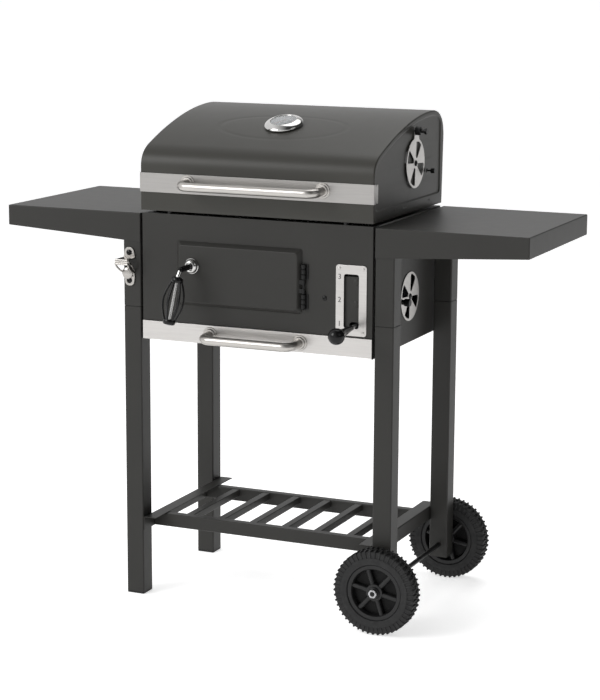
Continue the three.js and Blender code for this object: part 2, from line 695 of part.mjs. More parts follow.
// ---------------------------------------------------------------- charcoal lift
function charcoalPan() {
  const slots = [];
  for (let i = 0; i < 5; i += 1) {
    for (let k = 0; k < 3; k += 1) {
      const x = (i - 2) * 84;
      const y = 80 + k * 88;
      slots.push(block(x - 24, x + 24, y, y + 9, PAN_LOW - 5, PAN_LOW + 5));
    }
  }
  return cut(
    block(-236, 236, 22, 358, PAN_LOW, PAN_HIGH),
    block(-234.5, 234.5, 23.5, 356.5, PAN_LOW + SHEET, PAN_HIGH + 10),
    ...slots,
  );
}
add('charcoal_pan', charcoalPan(), 'enamel');

// Carrier under the pan, its shield behind the window and the lever's pivot pin.
function liftFrame() {
  const top = PAN_LOW - GAP;
  const low = top - 3.2;
  const frame = cut(block(-205, 205, 36, 344, low, top), block(-185, 185, 56, 324, low - 5, top + 5));
  const bridge = block(188, 236, 11, 76, low, top);
  const shield = cut(
    block(190, 234, 11, 13, 606, 724),
    block(205, 226, 5, 20, LEVER_Z - 6, LEVER_Z + 5.6),
    barY(LEVER_X, 661, 6, 12, 20, 16),
    barY(LEVER_X, 705, 6, 12, 20, 16),
  );
  return join(frame, bridge, shield, barZ(LEVER_X, LEVER_PIVOT_Y, 3, 611, top - 1, 16));
}
add('lift_frame', liftFrame(), 'blackPaint');

const KNOB_Y = FRONT_Y + KNOB_R;
const KNOB_DROP = 4.5;

function liftLever() {
  const rod = bentTube([[LEVER_X, LEVER_PIVOT_Y + 12, LEVER_Z], [LEVER_X, -14, LEVER_Z],
    [LEVER_X, KNOB_Y + KNOB_R + 0.5, LEVER_Z - KNOB_DROP]], 4, 8);
  const eye = barZ(LEVER_X, LEVER_PIVOT_Y, 7.5, LEVER_Z - 4, LEVER_Z + 4, 20);
  return cut(join(rod, eye), barZ(LEVER_X, LEVER_PIVOT_Y, 3.4, LEVER_Z - 20, LEVER_Z + 20, 16));
}
add('lift_lever', liftLever(), 'zinc');
add('lever_knob', new THREE.SphereGeometry(KNOB_R, 18, 12)
  .translate(LEVER_X, KNOB_Y, LEVER_Z - KNOB_DROP), 'plastic');

// Plate round the window, with a rivet head in each corner.
function gaugePlate() {
  const [x0, x1, z0, z1] = [177.6, 243.4, 598, 739.5];
  const corner = 6;
  const shape = new THREE.Shape();
  shape.absarc(x0 + corner, z0 + corner, corner, Math.PI, 1.5 * Math.PI);
  shape.absarc(x1 - corner, z0 + corner, corner, 1.5 * Math.PI, 2 * Math.PI);
  shape.absarc(x1 - corner, z1 - corner, corner, 0, 0.5 * Math.PI);
  shape.absarc(x0 + corner, z1 - corner, corner, 0.5 * Math.PI, Math.PI);
  const plate = extrudeY(shape, -GAP - SHEET, -GAP, 4);
  const { left, right, low, high } = WINDOW;
  const rivets = [];
  for (const x of [x0 + 7, x1 - 7]) {
    for (const z of [z0 + 7, z1 - 7]) rivets.push(barY(x, z, 3, -3.4, -1, 10));
  }
  return join(cut(plate, block(left, right, -10, 10, low, high)), ...rivets);
}
add('gauge_plate', gaugePlate(), 'stainless');

// ---------------------------------------------------------------- cooking grates
function cookingGrate() {
  const [x0, x1, y0, y1] = [1, 239, 18, 361];
  const border = 7;
  const high = GRATE_LOW + 8;
  const frame = cut(
    block(x0, x1, y0, y1, GRATE_LOW, high),
    block(x0 + border, x1 - border, y0 + border, y1 - border, GRATE_LOW - 5, high + 5),
  );
  const bars = [];
  const count = 11;
  const pitch = (x1 - x0 - border) / (count + 1);
  for (let i = 1; i <= count; i += 1) {
    const x = x0 + border / 2 + i * pitch;
    bars.push(block(x - 2.5, x + 2.5, y0 + 3, y1 - 3, GRATE_LOW + 1, high - 0.5));
  }
  return join(frame, ...bars);
}
add('cooking_grate_right', cookingGrate(), 'enamel');
add('cooking_grate_left', mirrorX(cookingGrate()), 'enamel');

// ---------------------------------------------------------------- bottle opener
const OPENER = { x: -283, top: 744, thick: 3, half: 14.6, reach: 38 };

// Two screwed lugs, a hood with a hooked lip between two cheeks, and a rounded rest below it.
function bottleOpener() {
  const { x, top, thick, half, reach } = OPENER;
  const back = -GAP;
  const face = back - thick;
  const inside = back - 0.5;
  const upperLug = extrudeY(flat([
    [x - 13.5, top - 21.5], [x + 13.5, top - 21.5], [x + 9.5, top - 5], [x + 5, top],
    [x - 5, top], [x - 9.5, top - 5],
  ]), face, back);
  const lowerLug = extrudeY(flat([
    [x - 11, top - 62], [x - 9.8, top - 74], [x - 5, top - 80], [x + 5, top - 80],
    [x + 9.8, top - 74], [x + 12.6, top - 62], [x + half, top - 50], [x - half, top - 50],
  ]), face, back);
  const shade = block(x - half, x + half, -reach, inside, top - 23.5, top - 20.5);
  const lip = block(x - half, x + half, -reach, thick - reach, top - 31.5, top - 21);
  const cheek = flat([
    [-reach, top - 21], [-reach, top - 31.5], [-14, top - 47], [inside, top - 52],
    [inside, top - 21],
  ]);
  const leftCheek = extrudeX(cheek, x - half, x - half + thick);
  const rightCheek = extrudeX(cheek, x + half - thick, x + half);
  const rest = barY(x, top - 53.5, 11.5, -9, inside, 16);
  return join(upperLug, lowerLug, shade, lip, leftCheek, rightCheek, rest);
}
add('bottle_opener', bottleOpener(), 'chrome');

export default model;
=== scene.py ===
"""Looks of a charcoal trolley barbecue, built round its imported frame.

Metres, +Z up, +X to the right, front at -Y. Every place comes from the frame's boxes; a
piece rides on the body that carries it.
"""

import json
import math

import bmesh
import bpy
from bpy.props import FloatProperty, FloatVectorProperty, IntProperty, PointerProperty
from bpy.types import Operator, Panel, PropertyGroup
from mathutils import Matrix, Vector
from mathutils.geometry import tessellate_polygon

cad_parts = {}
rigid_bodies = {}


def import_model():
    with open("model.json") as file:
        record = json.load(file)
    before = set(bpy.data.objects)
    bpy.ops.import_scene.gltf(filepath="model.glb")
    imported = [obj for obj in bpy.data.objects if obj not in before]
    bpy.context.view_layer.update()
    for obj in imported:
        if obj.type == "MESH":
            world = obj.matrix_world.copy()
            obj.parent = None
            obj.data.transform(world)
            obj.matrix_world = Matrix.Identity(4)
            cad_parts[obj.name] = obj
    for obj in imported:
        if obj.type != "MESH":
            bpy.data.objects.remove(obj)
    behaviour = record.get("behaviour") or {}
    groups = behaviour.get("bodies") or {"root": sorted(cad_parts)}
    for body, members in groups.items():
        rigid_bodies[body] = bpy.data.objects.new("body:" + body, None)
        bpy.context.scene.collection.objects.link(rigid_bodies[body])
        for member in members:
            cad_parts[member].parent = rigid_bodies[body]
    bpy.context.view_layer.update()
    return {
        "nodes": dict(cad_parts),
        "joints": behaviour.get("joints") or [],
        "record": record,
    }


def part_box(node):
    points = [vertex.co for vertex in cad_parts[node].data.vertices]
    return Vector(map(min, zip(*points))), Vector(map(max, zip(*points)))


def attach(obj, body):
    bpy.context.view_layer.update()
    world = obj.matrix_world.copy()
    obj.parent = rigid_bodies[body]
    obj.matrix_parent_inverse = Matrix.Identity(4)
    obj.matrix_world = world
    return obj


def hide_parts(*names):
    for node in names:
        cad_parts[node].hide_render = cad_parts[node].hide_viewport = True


bl_info = {
    "name": "Charcoal Trolley Barbecue",
    "version": (1, 0, 0),
    "blender": (4, 5, 0),
    "location": "View3D > Sidebar > Barbecue",
    "description": "Builds the sheet metal, fittings, wheels and finishes of a trolley barbecue",
    "category": "Add Mesh",
}

for leftover in list(bpy.data.objects):
    bpy.data.objects.remove(leftover)
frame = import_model()

MM = 0.001
SIDES = (("left", -1), ("right", 1))
ENDS = ("front", "back")
RECORD_COLOURS = {m["slot"]: tuple(m["base_color"][:3]) for m in frame["record"]["materials"]}


# ------------------------------------------------------------------ places in the frame
class Span:
    """Rest box of one or more CAD nodes, with its sides and middle by name."""

    def __init__(self, *nodes):
        boxes = [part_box(node) for node in nodes]
        self.x0, self.y0, self.z0 = (min(low[i] for low, _ in boxes) for i in range(3))
        self.x1, self.y1, self.z1 = (max(high[i] for _, high in boxes) for i in range(3))

    @property
    def middle(self):
        return Vector((self.x0 + self.x1, self.y0 + self.y1, self.z0 + self.z1)) / 2

    @property
    def size(self):
        return Vector((self.x1 - self.x0, self.y1 - self.y0, self.z1 - self.z0))


# ------------------------------------------------------------------ outlines and paths
def rounded(points, radius, steps=4, closed=True):
    """The polygon or path with its corners turned into arcs; radius is one value or a list."""
    points = [Vector(point) for point in points]
    count = len(points)
    radii = list(radius) if isinstance(radius, (list, tuple)) else [radius] * count
    result = []
    for i, (corner, bend) in enumerate(zip(points, radii)):
        if bend <= 0 or (not closed and i in (0, count - 1)):
            result.append(corner)
            continue
        before = (points[i - 1] - corner).normalized()
        after = (points[(i + 1) % count] - corner).normalized()
        half = before.angle(after) / 2
        centre = corner + (before + after).normalized() * (bend / math.sin(half))
        start = corner + before * (bend / math.tan(half)) - centre
        end = corner + after * (bend / math.tan(half)) - centre
        swing = math.pi - 2 * half
        for k in range(steps + 1):
            share = k / steps
            mix = start * math.sin((1 - share) * swing) + end * math.sin(share * swing)
            result.append(centre + mix / math.sin(swing))
    return result


def offset(outline, distance, closed=True):
    """A counter-clockwise outline moved outwards by distance."""
    last = len(outline) - 1
    result = []
    for i, point in enumerate(outline):
        back = point - outline[i - 1]
        ahead = outline[(i + 1) % len(outline)] - point
        if not closed and i == 0:
            back = ahead
        if not closed and i == last:
            ahead = back
        back, ahead = back.normalized(), ahead.normalized()
        edge_out = Vector((back.y, -back.x))
        corner_out = (edge_out + Vector((ahead.y, -ahead.x))).normalized()
        result.append(point + corner_out * (distance / max(corner_out.dot(edge_out), 0.3)))
    return result


def rectangle(u0, u1, v0, v1, radius=0.0, steps=4):
    """Counter-clockwise rectangle with rounded corners."""
    return rounded([(u0, v0), (u1, v0), (u1, v1), (u0, v1)], radius, steps)


def circle(u, v, radius, sides=40):
    """Counter-clockwise circle."""
    turn = 2 * math.pi / sides
    return [Vector((u + radius * math.cos(i * turn), v + radius * math.sin(i * turn)))
            for i in range(sides)]


def sector(u, v, inner, outer, middle, half, radius, steps=7):
    """Counter-clockwise wedge opening round (u, v) with rounded corners."""
    def at(r, angle):
        return Vector((u + r * math.cos(angle), v + r * math.sin(angle)))
    arc = [at(outer, middle - half + 2 * half * k / steps) for k in range(steps + 1)]
    points = [at(inner, middle - half)] + arc + [at(inner, middle + half)]
    radii = [radius / 2, radius] + [0] * (steps - 1) + [radius, radius / 2]
    return rounded(points, radii, 3)


def scaled(profile):
    """A profile given in millimetres, in metres."""
    return [(radius * MM, height * MM) for radius, height in profile]


def lift(point, level, axis):
    """The outline point raised to a level along an axis: X takes (y, z), Y (x, z), Z (x, y)."""
    u, v = point
    return Vector({"X": (level, u, v), "Y": (u, level, v), "Z": (u, v, level)}[axis])


# ------------------------------------------------------------------ building a mesh
class Shape:
    """A piece's mesh while it is built, shell by shell, each shell in one finish."""

    def __init__(self):
        self.mesh = bmesh.new()
        self.finishes = []
        self.at = Matrix.Identity(4)
        self.finish = None

    def use(self, finish):
        """Shells made from here on have this finish."""
        if finish not in self.finishes:
            self.finishes.append(finish)
        self.finish = self.finishes.index(finish)
        return self

    def ring(self, points):
        return [self.mesh.verts.new(self.at @ Vector(point)) for point in points]

    def face(self, verts):
        made = self.mesh.faces.new(verts)
        made.material_index = self.finish
        made.smooth = True
        return made

    def strip(self, lower, upper, closed=True):
        """Faces between two rings; a ring of one vertex makes a fan."""
        faces = []
        count = max(len(lower), len(upper))
        for i in range(count if closed else count - 1):
            j = (i + 1) % count
            if len(lower) == 1:
                faces.append(self.face([lower[0], upper[i], upper[j]]))
            elif len(upper) == 1:
                faces.append(self.face([lower[i], upper[0], lower[j]]))
            else:
                faces.append(self.face([lower[i], upper[i], upper[j], lower[j]]))
        return faces

    def sheet(self, loops):
        """A flat face bounded by the first ring of vertices, with the others as holes."""
        if len(loops) == 1:
            return [self.face(loops[0])]
        verts = [vert for loop in loops for vert in loop]
        corners = tessellate_polygon([[vert.co for vert in loop] for loop in loops])
        return [self.face([verts[i] for i in triangle]) for triangle in corners]

    def outward(self, faces):
        bmesh.ops.recalc_face_normals(self.mesh, faces=faces)

    def plate(self, outline, low, high, axis="Z", holes=(), ease=0.4 * MM, steps=2):
        """Outline extruded along an axis, its rims eased by a small round."""
        turns = [k / steps * math.pi / 2 for k in range(steps + 1)]
        levels = [(ease * (1 - math.sin(a)), low + ease * (1 - math.cos(a))) for a in turns]
        levels += [(inset, low + high - level) for inset, level in reversed(levels)]
        faces, first, last = [], [], []
        for number, loop in enumerate([outline, *holes]):
            sign = 1 if number else -1
            rings = [self.ring([lift(p, level, axis) for p in offset(loop, sign * inset)])
                     for inset, level in levels]
            for lower, upper in zip(rings, rings[1:]):
                faces += self.strip(lower, upper)
            first.append(rings[0])
            last.append(rings[-1])
        faces += self.sheet(first) + self.sheet(last)
        self.outward(faces)

    def box(self, low, high, radius=0.6 * MM, steps=2):
        """Block with rounded edges between two corners."""
        self.plate(rectangle(low[0], high[0], low[1], high[1], radius, steps), low[2], high[2],
                   "Z", ease=radius, steps=steps)

    def turned(self, profile, base, axis, sides=32):
        """Profile of (radius, height) turned about an axis through base."""
        axis = Vector(axis).normalized()
        across = axis.orthogonal().normalized()
        side = axis.cross(across)
        rings = []
        for radius, height in profile:
            centre = Vector(base) + axis * height
            if radius < 1e-7:
                rings.append(self.ring([centre]))
                continue
            turns = [2 * math.pi * k / sides for k in range(sides)]
            rings.append(self.ring([
                centre + (across * math.cos(a) + side * math.sin(a)) * radius for a in turns]))
        faces = []
        for lower, upper in zip(rings, rings[1:]):
            faces += self.strip(lower, upper)
        if len(rings[0]) > 1 and len(rings[-1]) > 1:
            faces += self.strip(rings[-1], rings[0])
        self.outward(faces)

    def bar(self, points, radius, sides=16, closed=False):
        """Round bar along a path; radius is one value or one for each point."""
        points = [Vector(point) for point in points]
        count = len(points)
        radii = list(radius) if isinstance(radius, (list, tuple)) else [radius] * count
        across = None
        rings = []
        for i, point in enumerate(points):
            before = points[i - 1] if i or closed else point
            after = points[(i + 1) % count] if i < count - 1 or closed else point
            along = (after - before).normalized()
            if across is None:
                across = along.orthogonal()
            across = (across - along * across.dot(along)).normalized()
            side = along.cross(across)
            rings.append(self.ring([
                point + (across * math.cos(a) + side * math.sin(a)) * radii[i]
                for a in (2 * math.pi * k / sides for k in range(sides))]))
        faces = []
        for lower, upper in zip(rings, rings[1:]):
            faces += self.strip(lower, upper)
        faces += self.strip(rings[-1], rings[0]) if closed else \
            self.sheet([rings[0]]) + self.sheet([rings[-1]])
        self.outward(faces)

    def piece(self, name, body, slot, replaces=(), crease=34, wall=0.0):
        """Makes the object in the shape's finishes: it rides on body and may replace nodes. The
        slot argument is not used.
        """
        mesh = bpy.data.meshes.new(name)
        self.mesh.to_mesh(mesh)
        self.mesh.free()
        for finish in self.finishes:
            mesh.materials.append(material(finish))
        mesh.set_sharp_from_angle(angle=math.radians(crease))
        obj = bpy.data.objects.new(name, mesh)
        bpy.context.scene.collection.objects.link(obj)
        if wall:
            sheet = obj.modifiers.new("Sheet_thickness", "SOLIDIFY")
            sheet.thickness = wall
            sheet.offset = -1
            sheet.use_even_offset = True
        obj.modifiers.new("Even_shading", "WEIGHTED_NORMAL").keep_sharp = True
        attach(obj, body)
        if replaces:
            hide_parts(*replaces)
        return obj


def mirrored(sign):
    """Mirrors left to right for the left-hand twin of a right-hand part."""
    return Matrix.Diagonal((sign, 1, 1, 1))


# ------------------------------------------------------------------ finishes
class Nodes:
    """A material's node tree with short ways to add noise, ramps and bumps."""

    def __init__(self, name):
        self.material = bpy.data.materials.new(name)
        self.material.use_nodes = True
        self.tree = self.material.node_tree
        self.shader = self.tree.nodes["Principled BSDF"]
        self.where = self.tree.nodes.new("ShaderNodeTexCoord").outputs["Object"]

    def set(self, **values):
        for socket, value in values.items():
            self.shader.inputs[socket.replace("_", " ")].default_value = value
        return self

    def noise(self, scale, detail=2.0, stretch=(1, 1, 1), roughness=0.5):
        mapping = self.tree.nodes.new("ShaderNodeMapping")
        mapping.inputs["Scale"].default_value = stretch
        texture = self.tree.nodes.new("ShaderNodeTexNoise")
        texture.inputs["Scale"].default_value = scale
        texture.inputs["Detail"].default_value = detail
        texture.inputs["Roughness"].default_value = roughness
        self.tree.links.new(self.where, mapping.inputs["Vector"])
        self.tree.links.new(mapping.outputs["Vector"], texture.inputs["Vector"])
        return texture.outputs["Fac"]

    def cells(self, scale):
        texture = self.tree.nodes.new("ShaderNodeTexVoronoi")
        texture.inputs["Scale"].default_value = scale
        self.tree.links.new(self.where, texture.inputs["Vector"])
        return texture.outputs["Color"]

    def ranged(self, source, low, high, start=0.3, end=0.7):
        node = self.tree.nodes.new("ShaderNodeMapRange")
        for socket, value in zip(("From Min", "From Max", "To Min", "To Max"),
                                 (start, end, low, high)):
            node.inputs[socket].default_value = value
        self.tree.links.new(source, node.inputs["Value"])
        return node.outputs["Result"]

    def tinted(self, source, color, spread, start=0.3, end=0.7):
        """Base colour from spread below the colour to spread above it."""
        ramp = self.tree.nodes.new("ShaderNodeValToRGB")
        for element, place, share in zip(ramp.color_ramp.elements, (start, end),
                                         (1 - spread, 1 + spread)):
            element.position = place
            element.color = (*[min(c * share, 1) for c in color], 1)
        self.tree.links.new(source, ramp.inputs["Fac"])
        self.tree.links.new(ramp.outputs["Color"], self.shader.inputs["Base Color"])
        return self

    def rough(self, source, low, high):
        self.tree.links.new(self.ranged(source, low, high), self.shader.inputs["Roughness"])
        return self

    def bump(self, source, depth, strength=1.0):
        """Adds a relief of that depth in metres; several calls stack up."""
        node = self.tree.nodes.new("ShaderNodeBump")
        node.inputs["Strength"].default_value = strength
        node.inputs["Distance"].default_value = depth
        self.tree.links.new(source, node.inputs["Height"])
        socket = self.shader.inputs["Normal"]
        if socket.is_linked:
            self.tree.links.new(socket.links[0].from_socket, node.inputs["Normal"])
        self.tree.links.new(node.outputs["Normal"], socket)
        return self


def powder_coat(name, color, low, high):
    """Satin powder coat with a fine orange peel."""
    nodes = Nodes(name).set(Metallic=0.0, IOR=1.5, Specular_IOR_Level=0.27)
    nodes.tinted(nodes.noise(9, 3), color, 0.04)
    nodes.rough(nodes.noise(38, 3), low, high)
    return nodes.bump(nodes.noise(900, 2), 0.05 * MM, 0.5)


def brushed(name, color, low, high, along=(1.5, 60, 60)):
    """Brushed stainless steel with its grain along X."""
    nodes = Nodes(name).set(Metallic=1.0, Anisotropic=0.4)
    nodes.tinted(nodes.noise(8, 4, along, 0.65), color, 0.05)
    nodes.rough(nodes.noise(12, 3, along), low, high)
    return nodes.bump(nodes.noise(30, 3, along), 0.04 * MM, 0.35)


def polished(name, color, low, high):
    """Polished metal with faint buffing marks."""
    nodes = Nodes(name).set(Metallic=1.0)
    nodes.tinted(nodes.noise(40, 2), color, 0.02)
    nodes.rough(nodes.noise(120, 3), low, high)
    return nodes.bump(nodes.noise(260, 2), 0.02 * MM, 0.15)


def moulded(name, color, low, high, grain, depth, shine=0.45):
    """Moulded plastic or rubber with a fine grain."""
    nodes = Nodes(name).set(Metallic=0.0, IOR=1.46, Specular_IOR_Level=shine)
    nodes.tinted(nodes.noise(60, 3), color, 0.12)
    nodes.rough(nodes.noise(90, 2), low, high)
    return nodes.bump(nodes.noise(grain, 3), depth, 0.5)


def zinc(name, color):
    """Zinc plate with a soft crystal pattern."""
    nodes = Nodes(name).set(Metallic=1.0)
    nodes.tinted(nodes.cells(140), color, 0.08)
    nodes.rough(nodes.noise(60, 3), 0.32, 0.48)
    return nodes.bump(nodes.noise(500, 2), 0.02 * MM, 0.3)


def dial_print(name, color):
    """Printed dial card with a slight paper tooth."""
    nodes = Nodes(name).set(Metallic=0.0)
    nodes.tinted(nodes.noise(300, 2), color, 0.04)
    nodes.rough(nodes.noise(200, 2), 0.4, 0.55)
    return nodes.bump(nodes.noise(900, 2), 0.02 * MM, 0.3)


def backdrop(name, color):
    """Matt floor lit from within, as a light table is, so that it stays evenly pale."""
    nodes = Nodes(name).set(Metallic=0.0, Specular_IOR_Level=0.1)
    glow = 0.62
    nodes.set(Emission_Color=(1, 1, 1, 1), Emission_Strength=glow)
    nodes.tinted(nodes.noise(3, 2), color, 0.005)
    return nodes.rough(nodes.noise(20, 2), 0.8, 0.9)


def clear_glass(name, color):
    """Thin clear glass with a trace of smear."""
    nodes = Nodes(name).set(Metallic=0.0, Transmission_Weight=0.85, IOR=1.45)
    nodes.tinted(nodes.noise(20, 2), color, 0.02)
    nodes.rough(nodes.noise(50, 2), 0.03, 0.08)
    return nodes.bump(nodes.noise(40, 2), 0.02 * MM, 0.1)


def material(finish):
    """The named finish, made once from the colours in the sidebar."""
    known = bpy.data.materials.get(finish)
    if known:
        return known
    tones = bpy.context.scene.barbecue_tones
    # The lid band's steel is the stainless tone darkened to 0.74: painted shade, since the band
    # faces a darker part of the surround.
    band = [0.74 * part for part in tones.steel]
    makers = {
        "Anthracite_powder_coat": lambda n: powder_coat(n, tones.body, 0.455, 0.47),
        "Lid_powder_coat": lambda n: powder_coat(n, tones.lid, 0.395, 0.41),
        "Black_paint": lambda n: powder_coat(n, tones.black, 0.35, 0.45),
        "Black_enamel": lambda n: moulded(n, RECORD_COLOURS["enamel"], 0.14, 0.24, 420,
                                          0.03 * MM),
        "Brushed_stainless": lambda n: brushed(n, tones.steel, 0.3, 0.42),
        "Stamped_stainless": lambda n: polished(n, tones.steel, 0.34, 0.42),
        "Polished_tube": lambda n: polished(n, tones.tube, 0.28, 0.36),
        "Chrome": lambda n: polished(n, tones.chrome, 0.06, 0.13),
        "Zinc_plate": lambda n: zinc(n, RECORD_COLOURS["zinc_plate"]),
        "Black_plastic": lambda n: moulded(n, tones.plastic, 0.36, 0.5, 700, 0.05 * MM),
        "Gloss_black_plastic": lambda n: moulded(n, tones.plastic, 0.08, 0.14, 60, 0.01 * MM,
                                                 0.28),
        "Cast_nickel": lambda n: polished(n, tones.casting, 0.24, 0.32),
        "Lid_band_steel": lambda n: brushed(n, band, 0.3, 0.42),
        # The wheel's web is a darker black than its ribs: painted shade for the deep recess between
        # them.
        "Wheel_recess": lambda n: moulded(n, (0.004, 0.004, 0.004), 0.5, 0.6, 700, 0.05 * MM,
                                          0.2),
        "Tyre_rubber": lambda n: moulded(n, tones.tyre, 0.6, 0.78, 520, 0.12 * MM),
        "Stop_rubber": lambda n: moulded(n, RECORD_COLOURS["stop_rubber"], 0.55, 0.7, 600,
                                         0.05 * MM),
        "Dial_card": lambda n: dial_print(n, (0.2, 0.205, 0.21)),
        "Dial_ink": lambda n: dial_print(n, (0.03, 0.03, 0.03)),
        "Dial_red": lambda n: dial_print(n, (0.45, 0.03, 0.02)),
        "Dial_glass": lambda n: clear_glass(n, (0.95, 0.97, 0.98)),
        "Studio_floor": lambda n: backdrop(n, tones.floor),
    }
    return makers[finish](finish).material


def dress(node, finish, ease=0.5 * MM):
    """A CAD node whose shape is right gets softened edges and a finish."""
    obj = frame["nodes"][node]
    obj.data.materials.clear()
    obj.data.materials.append(material(finish))
    obj.modifiers.new("Joined_corners", "WELD").merge_threshold = 0.02 * MM
    if ease:
        bevel = obj.modifiers.new("Eased_edges", "BEVEL")
        bevel.width = ease
        bevel.segments = 2
        bevel.limit_method = "ANGLE"
        bevel.angle_limit = math.radians(40)
    obj.modifiers.new("Even_shading", "WEIGHTED_NORMAL").keep_sharp = True


# ------------------------------------------------------------------ sizes and colours
def length(name, text, default):
    return FloatProperty(name=name, description=text, default=default, min=0.0,
                         unit="LENGTH", subtype="DISTANCE", precision=4)


def colour(name, text, default):
    return FloatVectorProperty(name=name, description=text, default=default, size=3,
                               subtype="COLOR", min=0.0, max=1.0)


class BarbecueSizes(PropertyGroup):
    """Sizes of the visible pieces."""
    sheet: length("Sheet", "Thickness of the steel sheet", 1.5 * MM)
    fold: length("Fold", "Outside radius of a fold in the sheet", 2.2 * MM)
    leg_corner: length("Leg corner", "Corner radius of the square leg tube", 3.0 * MM)
    lid_edge: length("Lid edge", "Radius between the lid's skin and its ends", 2.6 * MM)
    recess: length("Recess", "Depth of the pressed recess in the lid's ends", 2.0 * MM)
    groove: length("Groove", "Depth of the oval pressed round the thermometer", 0.5 * MM)
    tube: length("Handle tube", "Radius of the bent handle tube", 9.2 * MM)
    wire: length("Grip wire", "Radius of a wire of the door grip", 2.2 * MM)
    lug: length("Tyre lug", "Height of a tyre lug", 3.0 * MM)
    lugs: IntProperty(name="Lugs", description="Lugs round one row of a tyre", default=50,
                      min=8, max=120)


class BarbecueTones(PropertyGroup):
    """Colours of the finishes."""
    body: colour("Body", "Powder coat of the body, legs and tables", (0.025, 0.0243, 0.0222))
    lid: colour("Lid", "Powder coat of the lid", (0.0378, 0.0368, 0.032))
    black: colour("Black paint", "Hinges, carrier and axle", (0.006, 0.006, 0.006))
    steel: colour("Stainless steel", "Bands, plates and vent discs", (0.53, 0.515, 0.5))
    tube: colour("Handle tube", "Polished handle tube", (0.47, 0.452, 0.43))
    chrome: colour("Chrome", "Thermometer and rosette", (0.58, 0.575, 0.565))
    casting: colour("Casting", "Bottle opener", (0.4, 0.385, 0.365))
    plastic: colour("Plastic", "Knobs, wheels and feet", (0.0055, 0.0055, 0.0057))
    tyre: colour("Tyre", "Tyre rubber", (0.013, 0.013, 0.0132))
    floor: colour("Floor", "Pale studio floor", (0.86, 0.86, 0.86))


# ------------------------------------------------------------------ legs and feet
class BARBECUE_OT_legs(Operator):
    """Square tube legs in two lengths, with their feet and end plugs"""
    bl_idname = "barbecue.legs"
    bl_label = "Legs and Feet"
    bl_options = {"REGISTER", "UNDO"}

    def execute(self, context):
        sizes = context.scene.barbecue_sizes
        for end in ENDS:
            for side, _ in SIDES:
                self.leg(sizes, end, side)
            self.foot(f"foot_{end}_left")
        return {"FINISHED"}

    def leg(self, sizes, end, side):
        upper = Span(f"upper_leg_{end}_{side}")
        lower = Span(f"lower_leg_{end}_{side}")
        outer = rectangle(upper.x0, upper.x1, upper.y0, upper.y1, sizes.leg_corner)
        bore = offset(outer, -sizes.sheet)
        tube = Shape().use("Anthracite_powder_coat")
        tube.plate(outer, upper.z0, upper.z1, holes=[bore], ease=0.3 * MM)
        tube.piece(f"{end}_{side}_upper_leg_tube", "cart", "anthracite_paint",
                   [f"upper_leg_{end}_{side}"])
        tube = Shape().use("Anthracite_powder_coat")
        tube.plate(outer, lower.z0, upper.z0 - 1.2 * MM, holes=[bore], ease=0.3 * MM)
        neck = offset(outer, -sizes.sheet - 0.4 * MM)
        tube.plate(neck, upper.z0 - 30 * MM, lower.z1, holes=[offset(neck, -sizes.sheet)])
        tube.piece(f"{end}_{side}_lower_leg_tube", "cart", "anthracite_paint",
                   [f"lower_leg_{end}_{side}"])
        if side == "right":
            plug = Shape().use("Black_plastic")
            plug.plate(offset(bore, -0.2 * MM), lower.z0 + 0.5 * MM, lower.z0 + 4 * MM)
            plug.piece(f"{end}_{side}_leg_end_plug", "cart", "black_plastic")

    def foot(self, node):
        box = Span(node)
        pad = Shape().use("Black_plastic")
        show = 3.7 * MM
        pad.plate(rectangle(box.x0, box.x1, box.y0, box.y1, 3 * MM), box.z0, box.z0 + show,
                  ease=0.9 * MM)
        core = offset(rectangle(box.x0, box.x1, box.y0, box.y1, 3 * MM), -4 * MM)
        pad.plate(core, box.z0 + show, box.z1, ease=0.8 * MM)
        pad.piece(f"{node}_cap", "cart", "black_plastic", [node])


